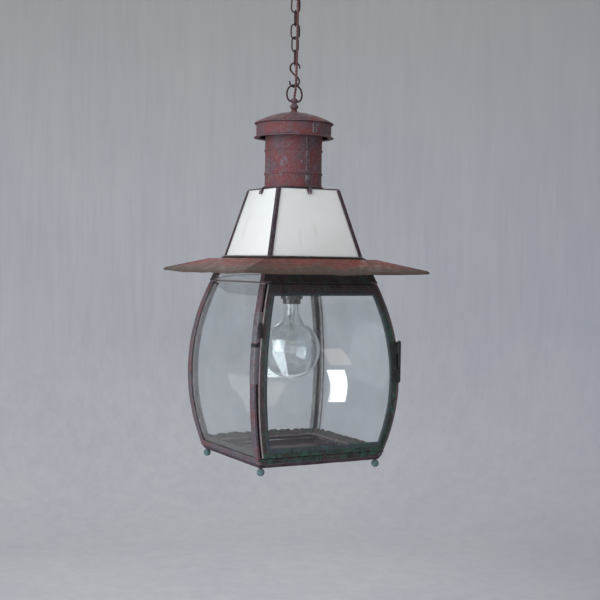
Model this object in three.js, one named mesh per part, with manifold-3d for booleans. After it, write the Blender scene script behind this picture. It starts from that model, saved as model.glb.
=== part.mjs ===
// A square copper lantern with bowed clear panes, an opal glass roof and a round vented chimney,
// hung by a ring, an S-hook and a six-link chain from a ceiling rose, with its lamp flex
// running down beside the chain. Millimetres, +Z up, origin on the ceiling face of the rose plate.
// The door side faces -Y.

import * as THREE from 'three';
import { mergeVertices } from 'three/addons/utils/BufferGeometryUtils.js';
import Module from 'manifold-3d';

const wasm = await Module();
wasm.setup();

// ---- driving dimensions -------------------------------------------------------------------

const GAP = 0.3; // running and seating clearance between neighbouring pieces

// ceiling rose and hook
const PLATE_RADIUS = 40.4;
const PLATE_THICK = 4;
const PLATE_SCREW_X = 24;
const PLATE_SCREW_HOLE = 4.5;
const ROSE_RADIUS = 42;
const ROSE_DEPTH = 26;
const HOOK_WIRE = 4;
const HOOK_RADIUS = 9;
const HOOK_BOWL_Z = -65;

// chain
const LINK_COUNT = 6;
const LINK_WIRE = 2.6;
const LINK_LENGTH = 26.8;
const LINK_WIDTH = 16.2;
const LINK_TURNS = [57, -28, 52, -28, 12, 57]; // turn of each link's plane about Z, degrees
const CHAIN_PLAY = 0.4; // daylight between two wires that hang in each other
const S_WIRE = 3;
const S_HEIGHT = 39.3; // between the two wire centres
const S_TURN = -53;
const RING_WIRE = 2.9;
const RING_HEIGHT = 26.5; // from the finial's cross hole to the top of the ring, wire centres
const RING_WIDTH = 27.4;

// flex
const FLEX_DIAMETER = 4.2;

// lantern levels, measured from the brim's lower edge
const RING_PIVOT = 278.5;
const FINIAL_TOP = 283.8;
const DOME_TOP = 260;
const DOME_RISE = 17.6;
const CAP_RIM = 241;
const CAP_FOOT = 218.7;
const TUBE_TOP = 230;
const TUBE_FOOT = 136.3;
const ROOF_TOP = 134;
const ROOF_FOOT = 26.2;
const DECK = 21.8;
const CAGE_TOP = -17;
const CAGE_FOOT = -283.3;
const TRAY_FOOT = -299;

// radii and half widths
const TUBE_RADIUS = 46.5;
const DRUM_RADIUS = 61.2;
const FLANGE_RADIUS = 65.2;
const ROOF_TOP_HALF = 55;
const ROOF_FOOT_HALF = 82.5;
const DECK_HALF = 101.7;
const DECK_HOLE_HALF = 78;
const BRIM_HALF = 161.6;
const BRIM_LIP = 4.6;
const CAGE_HALF = 128.8; // at the widest level
const CAGE_WIDEST = -166.3;
const CAGE_BOW = 421; // radius of the bowed faces
const SHEET = 1.2; // copper sheet

// cage, glass and door
const POST_LEG = 14;
const POST_THICK = 1.6;
const GLASS = 2.4;
const HIP_LEG = 5.5;
const OPAL_GLASS = 3;
const DOOR_INSET = 7; // from the cage's corner line to the door's edge
const DOOR_PROUD = 5.2;
const DOOR_STILE = 14;
const DOOR_TOP_RAIL = 19;
const DOOR_FOOT_RAIL = 15;
const DOOR_RETURN = 1.4;
const BOW_STEPS = 14;

// hinge and latch
const HINGE_X = 125.5;
const HINGE_Y = -132.4;
const HINGE_Z = -139.3; // middle of the hinge, above the cage's widest level
const HINGE_LENGTH = 64;
const BARREL_RADIUS = 3;
const PIN_RADIUS = 1.3;
const LEAF_THICK = 0.9;
const LATCH_Z = -82;
const LATCH_LENGTH = 24;
const LATCH_WIDTH = 5;

// lamp
const GLOBE_RADIUS = 47.5;
const GLOBE_CENTRE = -126.8;
const HOLDER_RADIUS = 14.7;
const HOLDER_FOOT = -52;
const HOLDER_TOP = -22;
const ROD_RADIUS = 5;
const ROD_BORE = 3.4;
const FOOT_RADIUS = 6;
const FOOT_HALF = 102.5;

// ---- materials ----------------------------------------------------------------------------

function finish(color, roughness, metalness, extra = {}) {
  return new THREE.MeshStandardMaterial({ color, roughness, metalness, ...extra });
}

const redPaint = finish(0x7d4038, 0.75, 0.2);
const brownPaint = finish(0x5c4644, 0.75, 0.25);
const verdigris = finish(0x56665f, 0.8, 0.25);
const leadGrey = finish(0x6c6468, 0.7, 0.4);
const darkFrame = finish(0x3b3638, 0.7, 0.4);
const rustyIron = finish(0x5e3c33, 0.7, 0.5);
const paleCopper = finish(0x86a5a8, 0.7, 0.2);
const brass = finish(0xb08d4c, 0.4, 0.9);
const bakelite = finish(0x18171a, 0.4, 0.0);
const clearGlass = finish(0xdfe8ea, 0.05, 0.0, { transparent: true, opacity: 0.3 });
const opalGlass = finish(0xe9ebe8, 0.3, 0.0);
const flexCloth = finish(0x6b3f36, 0.9, 0.0);

// ---- helpers ------------------------------------------------------------------------------

const degrees = THREE.MathUtils.degToRad;

function signedVolume(geometry) {
  const p = geometry.getAttribute('position');
  const index = geometry.getIndex();
  const [a, b, c] = [new THREE.Vector3(), new THREE.Vector3(), new THREE.Vector3()];
  let sum = 0;
  for (let i = 0; i < index.count; i += 3) {
    a.fromBufferAttribute(p, index.getX(i));
    b.fromBufferAttribute(p, index.getX(i + 1));
    c.fromBufferAttribute(p, index.getX(i + 2));
    sum += a.dot(b.cross(c)) / 6;
  }
  return sum;
}

// one welded shell with its faces pointing out
function welded(geometry) {
  const bare = geometry.clone();
  bare.deleteAttribute('normal');
  bare.deleteAttribute('uv');
  const shell = mergeVertices(bare, 1e-4);
  const index = shell.getIndex();
  const flip = signedVolume(shell) < 0;
  const triangles = [];
  for (let i = 0; i < index.count; i += 3) {
    const corner = [index.getX(i), index.getX(i + 1), index.getX(i + 2)];
    if (new Set(corner).size < 3) continue;
    triangles.push(...(flip ? corner.reverse() : corner));
  }
  shell.setIndex(triangles);
  return shell;
}

function toSolid(geometry) {
  const shell = welded(geometry);
  const vertProperties = new Float32Array(shell.getAttribute('position').array);
  const triVerts = new Uint32Array(shell.getIndex().array);
  return new wasm.Manifold(new wasm.Mesh({ numProp: 3, vertProperties, triVerts }));
}

function toGeometry(solid) {
  const mesh = solid.getMesh();
  const geometry = new THREE.BufferGeometry();
  geometry.setAttribute('position', new THREE.BufferAttribute(mesh.vertProperties, 3));
  geometry.setIndex(new THREE.BufferAttribute(mesh.triVerts, 1));
  return geometry;
}

function joined(...geometries) {
  return toGeometry(geometries.map(toSolid).reduce((whole, next) => whole.add(next)));
}

function cutBy(geometry, ...tools) {
  return toGeometry(tools.map(toSolid).reduce((rest, tool) => rest.subtract(tool), toSolid(geometry)));
}

function shared(first, second) {
  return toGeometry(toSolid(first).intersect(toSolid(second)));
}

// a shape of revolution about Z from [radius, height] pairs
function turned(profile, segments = 32) {
  const points = profile.map(([r, z]) => new THREE.Vector2(r, z));
  return welded(new THREE.LatheGeometry(points, segments).rotateX(Math.PI / 2));
}

// the same profile carried round a square, with mitred corners
function squareTurned(profile) {
  const points = profile.map(([half, z]) => new THREE.Vector2(half * Math.SQRT2, z));
  return welded(new THREE.LatheGeometry(points, 4, Math.PI / 4).rotateX(Math.PI / 2));
}

function closed(profile) {
  return [...profile, profile[0]];
}

function rod(radius, from, to, segments = 16) {
  return turned([[0, from], [radius, from], [radius, to], [0, to]], segments);
}

// round wire along a curve
function wire(curve, diameter, steps, sides = 8) {
  const section = new THREE.Shape();
  section.absarc(0, 0, diameter / 2, 0, 2 * Math.PI);
  const outline = new THREE.Shape(section.getPoints(sides).slice(0, sides));
  return welded(new THREE.ExtrudeGeometry(outline, { steps, extrudePath: curve }));
}

function box(width, depth, height, x = 0, y = 0, z = 0) {
  return new THREE.BoxGeometry(width, depth, height).translate(x, y, z);
}

function steps(from, to, count) {
  return Array.from({ length: count + 1 }, (_, i) => THREE.MathUtils.lerp(from, to, i / count));
}

const REACH = 200;

// a sheet on the -Y face: halfAt(z) is the face's distance from the axis, inner and outer are
// offsets from it, and outline(s) in [x, z] pairs cut its edge and its window
function faceSheet(halfAt, heights, inner, outer, outline, window = null) {
  const front = heights.map((z) => new THREE.Vector2(halfAt(z) + outer, z));
  const back = heights.map((z) => new THREE.Vector2(halfAt(z) + inner, z)).reverse();
  const options = { depth: 2 * REACH, bevelEnabled: false };
  const sheet = new THREE.ExtrudeGeometry(new THREE.Shape([...front, ...back]), options);
  const turn = new THREE.Matrix4().set(0, 0, -1, REACH, -1, 0, 0, 0, 0, 1, 0, 0, 0, 0, 0, 1);
  sheet.applyMatrix4(turn);
  const whole = shared(sheet, prism(outline));
  return window ? cutBy(whole, prism(window)) : whole;
}

// everything in front of an outline given in [x, z] pairs
function prism(outline) {
  const edge = new THREE.Shape(outline.map(([x, z]) => new THREE.Vector2(x, z)));
  const solid = new THREE.ExtrudeGeometry(edge, { depth: REACH, bevelEnabled: false });
  return solid.rotateX(Math.PI / 2);
}

// an outline between two curves x = left(z) and x = right(z)
function between(heights, left, right) {
  return [...heights.map((z) => [left(z), z]), ...[...heights].reverse().map((z) => [right(z), z])];
}

const part = new THREE.Group();
const lantern = new THREE.Group();
part.add(lantern);

function add(group, name, geometry, material) {
  const mesh = new THREE.Mesh(geometry, material);
  mesh.name = name;
  group.add(mesh);
  return mesh;
}

// ---- ceiling rose -------------------------------------------------------------------------

const FLEX_EXIT = new THREE.Vector3(2.4, -9.6, -ROSE_DEPTH - 4);

function ceilingRose() {
  const screwHole = (x) => rod(PLATE_SCREW_HOLE / 2, -PLATE_THICK - 1, 1, 12).translate(x, 0, 0);
  const plate = cutBy(rod(PLATE_RADIUS, -PLATE_THICK, 0, 32), screwHole(-PLATE_SCREW_X), screwHole(PLATE_SCREW_X));
  add(part, 'ceiling_plate', plate, rustyIron);

  const cover = turned(closed([
    [ROSE_RADIUS, -0.6], [ROSE_RADIUS, -8], [ROSE_RADIUS - 6, -17], [ROSE_RADIUS - 18, -ROSE_DEPTH + 2],
    [3.2, -ROSE_DEPTH], [3.2, -ROSE_DEPTH + SHEET], [ROSE_RADIUS - 19, -ROSE_DEPTH + 3.4],
    [ROSE_RADIUS - 7, -16.2], [ROSE_RADIUS - SHEET, -7.6], [ROSE_RADIUS - SHEET, -0.6],
  ]), 32);
  const hole = rod(3.4, -ROSE_DEPTH - 5, -ROSE_DEPTH + 6).translate(FLEX_EXIT.x, FLEX_EXIT.y, 0);
  add(part, 'rose_cover', cutBy(cover, hole), brownPaint);

  const inside = FLEX_DIAMETER / 2 + 0.3;
  const ferrule = turned(closed([
    [inside, -ROSE_DEPTH - 4], [4.4, -ROSE_DEPTH - 4], [4.4, -ROSE_DEPTH - 0.3], [3.1, -ROSE_DEPTH - 0.3],
    [3.1, -ROSE_DEPTH + 4], [inside, -ROSE_DEPTH + 4],
  ]), 16);
  add(part, 'rose_ferrule', ferrule.translate(FLEX_EXIT.x, FLEX_EXIT.y, 0), brass);

  // straight shank, a quarter turn out and three quarters of a round hook
  const path = new THREE.CurvePath();
  const shankFoot = new THREE.Vector3(0, 0, HOOK_BOWL_Z + 2 * HOOK_RADIUS + 6);
  path.add(new THREE.LineCurve3(new THREE.Vector3(0, 0, -PLATE_THICK - GAP), shankFoot));
  const hook = [shankFoot, new THREE.Vector3(-4, 0, shankFoot.z - 4)];
  for (const angle of [160, 190, 220, 250, 270, 290, 320, 350]) {
    const a = degrees(angle);
    const centre = HOOK_BOWL_Z + HOOK_RADIUS;
    hook.push(new THREE.Vector3(HOOK_RADIUS * Math.cos(a), 0, centre + HOOK_RADIUS * Math.sin(a)));
  }
  path.add(new THREE.CatmullRomCurve3(hook));
  add(part, 'ceiling_hook', wire(path, HOOK_WIRE, 30), rustyIron);
}

// ---- chain, S-hook and ring ---------------------------------------------------------------

// a stadium of bent wire in the XZ plane, closed but for the butt joint in one leg
function linkCurve() {
  const radius = (LINK_WIDTH - LINK_WIRE) / 2;
  const straight = (LINK_LENGTH - LINK_WIRE) / 2 - radius;
  const path = new THREE.CurvePath();
  const at = (x, z) => new THREE.Vector3(x, 0, z);
  const bow = (centre, from, to) => new THREE.CatmullRomCurve3(steps(from, to, 6).map((a) => (
    at(radius * Math.cos(degrees(a)), centre + radius * Math.sin(degrees(a)))
  )));
  path.add(new THREE.LineCurve3(at(radius, 0.2), at(radius, straight)));
  path.add(bow(straight, 0, 180));
  path.add(new THREE.LineCurve3(at(-radius, straight), at(-radius, -straight)));
  path.add(bow(-straight, 180, 360));
  path.add(new THREE.LineCurve3(at(radius, -straight), at(radius, -0.2)));
  return path;
}

function chain() {
  const height = LINK_LENGTH - LINK_WIRE;
  let hold = HOOK_BOWL_Z + (HOOK_WIRE + LINK_WIRE) / 2 + CHAIN_PLAY;
  for (let i = 0; i < LINK_COUNT; i += 1) {
    const link = add(part, `link_${i + 1}`, wire(linkCurve(), LINK_WIRE, 26), rustyIron);
    link.position.z = hold - height / 2;
    link.rotation.z = degrees(LINK_TURNS[i]);
    hold += LINK_WIRE + CHAIN_PLAY - height;
  }
  hold += (S_WIRE - LINK_WIRE) / 2;

  const half = S_HEIGHT / 2;
  const upper = [[9.2, 9.5], [7.6, 15.2], [0, half], [-7, 15.8], [-8.2, 10.5], [-4.8, 4.2]];
  const lower = upper.map(([x, z]) => [-x, -z]).reverse();
  const points = [...upper, [0, 0], ...lower].map(([x, z]) => new THREE.Vector3(x, 0, z));
  const hook = add(part, 's_hook', wire(new THREE.CatmullRomCurve3(points), S_WIRE, 26), rustyIron);
  hook.position.z = hold - half;
  hook.rotation.z = degrees(S_TURN);
  hold += (S_WIRE + RING_WIRE) / 2 + CHAIN_PLAY - S_HEIGHT;
  return hold;
}

function hangingRing(top) {
  const w = RING_WIDTH / 2;
  const side = [[3, 0], [6.5, 0], [10.5, 2.2], [w - 0.4, 7.5], [w, 13.4], [10.6, 21.4], [5.6, 25.5]];
  const other = side.map(([x, z]) => [-x, z]).reverse();
  const points = [...side, [0, RING_HEIGHT], ...other].map(([x, z]) => new THREE.Vector3(x, 0, z));
  const ring = wire(new THREE.CatmullRomCurve3(points), RING_WIRE, 24);
  add(part, 'hanging_ring', ring.translate(0, 0, top - RING_HEIGHT), rustyIron);
}

// ---- finial, cap and chimney --------------------------------------------------------------

function finial() {
  const bore = FLEX_DIAMETER / 2 + 0.4;
  const ball = steps(60, -52, 4).map((a) => (
    [6 * Math.cos(degrees(a)), 279.4 + 4.6 * Math.sin(degrees(a))]
  ));
  const knob = steps(52, -60, 4).map((a) => [6.9 * Math.cos(degrees(a)), 270 + 5 * Math.sin(degrees(a))]);
  const body = turned(closed([
    [bore, FINIAL_TOP], ...ball, ...knob, [5.6, DOME_TOP + 2], [8.5, DOME_TOP + 0.5],
    [8.5, DOME_TOP - 0.1], [4.6, DOME_TOP - 0.1], [4.6, 251.8], [bore, 251.8],
  ]), 20);
  const crossHole = rod(RING_WIRE / 2 + GAP, -8, 8, 12).rotateY(Math.PI / 2).translate(0, 0, RING_PIVOT);
  add(lantern, 'finial', cutBy(body, crossHole), redPaint);

  const nut = new THREE.CylinderGeometry(9, 9, 5, 6).rotateX(Math.PI / 2).translate(0, 0, 255.4);
  add(lantern, 'finial_nut', cutBy(nut, rod(4.6 + GAP, 250, 262)), brass);
}

function cap() {
  const radii = [FLANGE_RADIUS - 1, 57, 46, 34, 21, 9];
  const dome = (lift) => radii.map((r) => [r, CAP_RIM + lift + DOME_RISE * (1 - (r / FLANGE_RADIUS) ** 2)]);
  add(lantern, 'cap_lid', turned(closed([
    [FLANGE_RADIUS - 1, CAP_RIM], ...dome(SHEET), [4.6 + GAP, DOME_TOP - 0.5], [4.6 + GAP, DOME_TOP - 1.7],
    ...dome(-0.1).slice(1).reverse(), [DRUM_RADIUS - 4, CAP_RIM],
  ])), redPaint);

  const rim = CAP_RIM - GAP;
  add(lantern, 'cap_drum', turned(closed([
    [DRUM_RADIUS, rim], [DRUM_RADIUS, CAP_FOOT + 3.4], [FLANGE_RADIUS, CAP_FOOT + 1.8],
    [FLANGE_RADIUS, CAP_FOOT], [DRUM_RADIUS - 5, CAP_FOOT], [DRUM_RADIUS - 5, CAP_FOOT + SHEET],
    [DRUM_RADIUS - SHEET, CAP_FOOT + SHEET], [DRUM_RADIUS - SHEET, rim],
  ])), redPaint);

  const inside = DRUM_RADIUS - SHEET - GAP;
  const outside = TUBE_RADIUS + GAP;
  const middle = (inside + outside) / 2;
  for (const [i, angle] of [30, 150, 270].entries()) {
    const strap = box(inside - outside - 0.6, 9, 2.4, middle, 0, CAP_FOOT + 6);
    add(lantern, `vent_strap_${i + 1}`, strap, brownPaint).rotation.z = degrees(angle);
  }
}

function chimney() {
  const bead = (z) => [[TUBE_RADIUS, z + 2.2], [TUBE_RADIUS + 1.3, z], [TUBE_RADIUS, z - 2.2]];
  const r = TUBE_RADIUS - SHEET;
  add(lantern, 'chimney_tube', turned(closed([
    [TUBE_RADIUS, TUBE_TOP], ...bead(197.5), ...bead(160), [TUBE_RADIUS, TUBE_FOOT + 4.5],
    [TUBE_RADIUS + 3.4, TUBE_FOOT + 2.6], [TUBE_RADIUS + 3.4, TUBE_FOOT], [r, TUBE_FOOT], [r, TUBE_TOP],
  ])), redPaint);

  const half = ROOF_TOP_HALF + 2.2;
  const plate = squareTurned([[0, ROOF_TOP], [half, ROOF_TOP], [half, ROOF_TOP + 2], [0, ROOF_TOP + 2]]);
  add(lantern, 'chimney_plate', cutBy(plate, rod(r - 1, ROOF_TOP - 5, ROOF_TOP + 5, 32)), brownPaint);
}

// ---- roof ---------------------------------------------------------------------------------

function roofHalf(z) {
  return THREE.MathUtils.mapLinear(z, ROOF_FOOT, ROOF_TOP, ROOF_FOOT_HALF, ROOF_TOP_HALF);
}

const FACES = [['front', 0], ['right', 90], ['back', 180], ['left', 270]];

function roof() {
  const heights = [ROOF_FOOT, ROOF_TOP - GAP];
  const reach = OPAL_GLASS + 0.5;
  const sheet = between(heights, (z) => reach - roofHalf(z), (z) => roofHalf(z) - reach);
  const pane = faceSheet(roofHalf, heights, -OPAL_GLASS, 0, sheet);
  const outer = 0.4 + SHEET;
  const rightLeg = between(heights, (z) => roofHalf(z) + outer - HIP_LEG, (z) => roofHalf(z) + outer);
  const leftLeg = rightLeg.map(([x, z]) => [-x, z]);
  const onFront = faceSheet(roofHalf, heights, 0.4, outer, rightLeg);
  const onRight = faceSheet(roofHalf, heights, 0.4, outer, leftLeg).rotateZ(Math.PI / 2);
  const hip = joined(onFront, onRight);
  for (const [name, angle] of FACES) {
    add(lantern, `opal_pane_${name}`, pane, opalGlass).rotation.z = degrees(angle);
    add(lantern, `hip_bar_${name}`, hip, brownPaint).rotation.z = degrees(angle);
  }
  add(lantern, 'roof_curb', squareTurned(closed([
    [DECK_HOLE_HALF + 1, DECK + GAP], [ROOF_FOOT_HALF + 3, DECK + GAP],
    [ROOF_FOOT_HALF + 3, ROOF_FOOT - GAP], [DECK_HOLE_HALF + 1, ROOF_FOOT - GAP],
  ])), brownPaint);
}

function brim() {
  add(lantern, 'brim', squareTurned(closed([
    [BRIM_HALF, 0], [BRIM_HALF, BRIM_LIP], [DECK_HALF, DECK], [DECK_HOLE_HALF, DECK],
    [DECK_HOLE_HALF, DECK - SHEET], [DECK_HALF - 0.3, DECK - SHEET],
    [BRIM_HALF - SHEET, BRIM_LIP - 1], [BRIM_HALF - SHEET, 0],
  ])), redPaint);
}

// ---- cage ---------------------------------------------------------------------------------

function cageHalf(z) {
  return CAGE_HALF - CAGE_BOW + Math.sqrt(CAGE_BOW ** 2 - (z - CAGE_WIDEST) ** 2);
}

function cage() {
  const top = cageHalf(CAGE_TOP);
  add(lantern, 'head_frame', squareTurned(closed([
    [top, CAGE_TOP + GAP], [top - 5, -1], [top - 5.4, DECK - SHEET - GAP],
    [DECK_HOLE_HALF + 2, DECK - SHEET - GAP], [DECK_HOLE_HALF + 2, DECK - 2 * SHEET - GAP],
    [top - 5.4 - POST_THICK, DECK - 2 * SHEET - GAP], [top - 5 - POST_THICK, -1],
    [top - POST_THICK, CAGE_TOP + GAP],
  ])), darkFrame);

  const heights = steps(CAGE_FOOT, CAGE_TOP, BOW_STEPS);
  const rightLeg = between(heights, (z) => cageHalf(z) - POST_LEG, cageHalf);
  const leftLeg = rightLeg.map(([x, z]) => [-x, z]);
  const onFront = faceSheet(cageHalf, heights, -POST_THICK, 0, rightLeg);
  const onRight = faceSheet(cageHalf, heights, -POST_THICK, 0, leftLeg).rotateZ(Math.PI / 2);
  const post = joined(onFront, onRight);
  const glassBack = -POST_THICK - 0.4 - GLASS;
  const edge = (z) => cageHalf(z) + glassBack - 0.6;
  const sheet = between(heights, (z) => -edge(z), edge);
  const pane = faceSheet(cageHalf, heights, glassBack, -POST_THICK - 0.4, sheet);
  for (const [name, angle] of FACES) {
    add(lantern, `corner_post_${name}`, post, leadGrey).rotation.z = degrees(angle);
    if (name !== 'front') add(lantern, `pane_${name}`, pane, clearGlass).rotation.z = degrees(angle);
  }
}

function base() {
  const foot = cageHalf(CAGE_FOOT);
  const low = -292.5;
  const ledge = CAGE_FOOT - GAP;
  add(lantern, 'base_frame', squareTurned(closed([
    [foot - 18, ledge], [foot, ledge], [foot - 2.4, low], [foot - 2.4 - POST_THICK, low],
    [foot - POST_THICK - 0.4, ledge - POST_THICK], [foot - 18, ledge - POST_THICK],
  ])), verdigris);
  const rim = foot - 2.8;
  add(lantern, 'base_tray', squareTurned([
    [0, TRAY_FOOT], [rim - 3.6, TRAY_FOOT], [rim, low - GAP], [rim - 1.6, low - GAP],
    [rim - 4.6, TRAY_FOOT + SHEET], [0, TRAY_FOOT + SHEET],
  ]), brownPaint);
  for (const [i, [x, y]] of [[-1, -1], [1, -1], [1, 1], [-1, 1]].entries()) {
    const ball = new THREE.SphereGeometry(FOOT_RADIUS, 12, 8).rotateX(Math.PI / 2);
    const ballFoot = add(lantern, `ball_foot_${i + 1}`, welded(ball), paleCopper);
    ballFoot.position.set(x * FOOT_HALF, y * FOOT_HALF, TRAY_FOOT - GAP - FOOT_RADIUS);
  }
}

// ---- door ---------------------------------------------------------------------------------

const DOOR_TOP = CAGE_TOP - 0.5;
const DOOR_FOOT = CAGE_FOOT + 1.5;

function doorHalf(z) {
  return cageHalf(z) - DOOR_INSET;
}

function door() {
  const heights = steps(DOOR_FOOT, DOOR_TOP, BOW_STEPS);
  const within = (inset, foot = inset, top = inset) => {
    const rows = steps(DOOR_FOOT + foot, DOOR_TOP - top, BOW_STEPS);
    return between(rows, (z) => inset - doorHalf(z), (z) => doorHalf(z) - inset);
  };
  const back = 0.4;
  const opening = within(DOOR_STILE, DOOR_FOOT_RAIL, DOOR_TOP_RAIL);
  const skin = faceSheet(cageHalf, heights, DOOR_PROUD - SHEET, DOOR_PROUD, within(0), opening);
  const rim = faceSheet(cageHalf, heights, back, DOOR_PROUD, within(0), within(DOOR_RETURN));
  add(lantern, 'door_frame', joined(skin, rim), darkFrame);
  const glass = faceSheet(cageHalf, heights, back + 0.8, back + 0.8 + GLASS, within(DOOR_RETURN + 0.4));
  add(lantern, 'door_pane', glass, clearGlass);
}

// the pin stands upright and the leaf behind it follows the bowed door
function hinge() {
  const third = HINGE_LENGTH / 3;
  const top = HINGE_Z + HINGE_LENGTH / 2;
  const foot = HINGE_Z - HINGE_LENGTH / 2;
  const barrel = (radius, from, to) => rod(radius, from, to).translate(HINGE_X, HINGE_Y, 0);
  const bore = barrel(PIN_RADIUS + GAP, foot - 1, top + 1);
  const edge = HINGE_X - 15;
  const spine = HINGE_X - 6;
  const reach = HINGE_X - 1;
  const notch = [foot + third - GAP, top - third + GAP];
  const leaf = faceSheet(cageHalf, steps(foot, top, 6), DOOR_PROUD + GAP, DOOR_PROUD + GAP + LEAF_THICK, [
    [edge, foot], [reach, foot], [reach, notch[0]], [spine, notch[0]],
    [spine, notch[1]], [reach, notch[1]], [reach, top], [edge, top],
  ]);
  const doorLeaf = joined(
    leaf, barrel(BARREL_RADIUS, foot, notch[0]), barrel(BARREL_RADIUS, notch[1], top),
  );
  add(lantern, 'hinge_leaf_door', cutBy(doorLeaf, bore), rustyIron);

  const middle = [foot + third, top - third];
  const rows = steps(...middle, 3);
  const plate = faceSheet(
    cageHalf, rows, GAP, GAP + 2.8, between(rows, () => HINGE_X - 1.9, () => HINGE_X + 2.7),
  );
  const postLeaf = joined(plate, barrel(BARREL_RADIUS, ...middle));
  add(lantern, 'hinge_leaf_post', cutBy(postLeaf, bore), rustyIron);

  const pin = turned([
    [0, foot - 1.6], [2.2, foot - 1.6], [2.2, foot - GAP], [PIN_RADIUS, foot - GAP],
    [PIN_RADIUS, top + GAP], [2.2, top + GAP], [2.2, top + 1.6], [0, top + 1.6],
  ], 12);
  add(lantern, 'hinge_pin', pin.translate(HINGE_X, HINGE_Y, 0), rustyIron);
}

// a turn button on the corner post beside the door's free edge, hanging upright when it is open
function latch() {
  const tilt = Math.asin((LATCH_Z - CAGE_WIDEST) / CAGE_BOW);
  const face = DOOR_PROUD + 0.6;
  const group = new THREE.Group();
  group.position.set(-cageHalf(LATCH_Z) + 3.4, -cageHalf(LATCH_Z), LATCH_Z);
  group.rotation.x = -tilt;
  lantern.add(group);

  const button = joined(
    box(LATCH_WIDTH, 1.6, LATCH_LENGTH - LATCH_WIDTH, 0, -face - 0.8, -6),
    new THREE.CylinderGeometry(LATCH_WIDTH / 2, LATCH_WIDTH / 2, 1.6, 16).translate(0, -face - 0.8, 3.5),
    new THREE.CylinderGeometry(LATCH_WIDTH / 2, LATCH_WIDTH / 2, 1.6, 16).translate(0, -face - 0.8, -15.5),
  );
  const hole = new THREE.CylinderGeometry(1.2 + GAP, 1.2 + GAP, 30, 12);
  add(group, 'latch_button', cutBy(button, hole), rustyIron);

  const rivet = turned([
    [0, 0.4], [2.3, 0.4], [2.3, face - GAP], [1.2, face - GAP], [1.2, face + 1.6 + GAP],
    [2.2, face + 1.6 + GAP], [1.6, face + 3], [0, face + 3],
  ], 12).rotateX(Math.PI / 2);
  add(group, 'latch_rivet', rivet, brass);
}

// ---- lamp ---------------------------------------------------------------------------------

function lamp() {
  const tube = closed([[ROD_BORE, 250.8], [ROD_RADIUS, 250.8], [ROD_RADIUS, -12], [ROD_BORE, -12]]);
  add(lantern, 'lamp_rod', turned(tube, 16), brass);

  add(lantern, 'lampholder_cap', turned(closed([
    [ROD_RADIUS + GAP, -4], [8, -4], [9.5, -9], [HOLDER_RADIUS, -15], [HOLDER_RADIUS, HOLDER_TOP],
    [HOLDER_RADIUS - 1.8, HOLDER_TOP], [HOLDER_RADIUS - 1.8, -16], [8, -10.6], [ROD_RADIUS + GAP, -10.6],
  ]), 24), bakelite);
  const body = HOLDER_TOP - GAP;
  add(lantern, 'lampholder', turned([
    [0, body], [HOLDER_RADIUS, body], [HOLDER_RADIUS, HOLDER_FOOT],
    [HOLDER_RADIUS - 1.7, HOLDER_FOOT], [HOLDER_RADIUS - 1.7, -27], [0, -27],
  ], 24), bakelite);
  add(lantern, 'shade_ring', turned(closed([
    [HOLDER_RADIUS + GAP, -37], [18, -37], [18, -44], [HOLDER_RADIUS + GAP, -44],
  ]), 24), bakelite);

  const neck = HOLDER_FOOT + 2;
  const globe = (radius, from, to, count) => steps(from, to, count).map((a) => (
    [radius * Math.cos(degrees(a)), GLOBE_CENTRE + radius * Math.sin(degrees(a))]
  ));
  const inner = GLOBE_RADIUS - 1.2;
  const outerWall = [[0, GLOBE_CENTRE - GLOBE_RADIUS], ...globe(GLOBE_RADIUS, -78, 62, 9)];
  const innerWall = [...globe(inner, 62, -78, 9), [0, GLOBE_CENTRE - inner]];
  add(lantern, 'lamp_globe', turned([
    ...outerWall, [15, -76], [11.8, -66], [11, neck], [9.8, neck], [10.6, -66], [14, -77], ...innerWall,
  ], 24), clearGlass);
  add(lantern, 'lamp_cap', turned([
    [0, -29], [11, -29], [11, neck + GAP], [9.4, neck + GAP], [9.4, -31], [0, -31],
  ], 24), brass);
  add(lantern, 'lamp_stem', turned([
    [0, -31.4], [6.5, -31.4], [6.5, -60], [3.4, -84], [1.6, -96], [1.6, -103], [0, -103],
  ], 16), clearGlass);
}

// ---- flex ---------------------------------------------------------------------------------

function flex(drop) {
  const exit = FLEX_EXIT;
  const points = [
    [exit.x, exit.y, -ROSE_DEPTH + 8], [exit.x, exit.y, -ROSE_DEPTH - 2], [exit.x, exit.y, -36],
    [1.9, -7.4, -50], [1.3, -5.3, -66], [1.3, -5.2, -86], [1.3, -5.2, -110], [1.3, -5.2, -135],
    [0.9, -5.3, -158], [0.4, -5.9, -174], [-0.1, -6.5, -188], [-0.3, -6.4, -204], [-0.5, -6.1, -220],
    [-0.6, -5.6, -228], [-0.3, -3.0, -235.5], [0, -0.4, -242.5], [0, 0, -247.5], [0, 0, -262],
    [0, 0, -300], [0, 0, -340], [0, 0, -380], [0, 0, -420], [0, 0, -460], [0, 0, -500],
    [0, 0, drop + HOLDER_TOP + 1.5],
  ];
  const curve = new THREE.CatmullRomCurve3(points.map(([x, y, z]) => new THREE.Vector3(x, y, z)));
  add(part, 'flex', wire(curve, FLEX_DIAMETER, 54), flexCloth);
}

// ---- assembly -----------------------------------------------------------------------------

ceilingRose();
const ringTop = chain();
hangingRing(ringTop);
lantern.position.z = ringTop - RING_HEIGHT - RING_PIVOT;
finial();
cap();
chimney();
roof();
brim();
cage();
base();
door();
hinge();
latch();
lamp();
flex(lantern.position.z);

export default part;
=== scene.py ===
# %% [markdown]
# # A hanging copper lantern
# This lesson dresses a square lantern with bowed clear panes, an opal glass roof and a round vented
# chimney. It hangs by a ring, an S-hook and six links of chain, and its lamp flex runs down beside them.
# The design model already holds every size and every joint, so the lesson starts by loading it. It
# could be looked at as it is, but its round parts have flats and its sheet metal has no age, so nearly
# every piece is made again here at the same place, and then given an old, painted copper finish.

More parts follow.
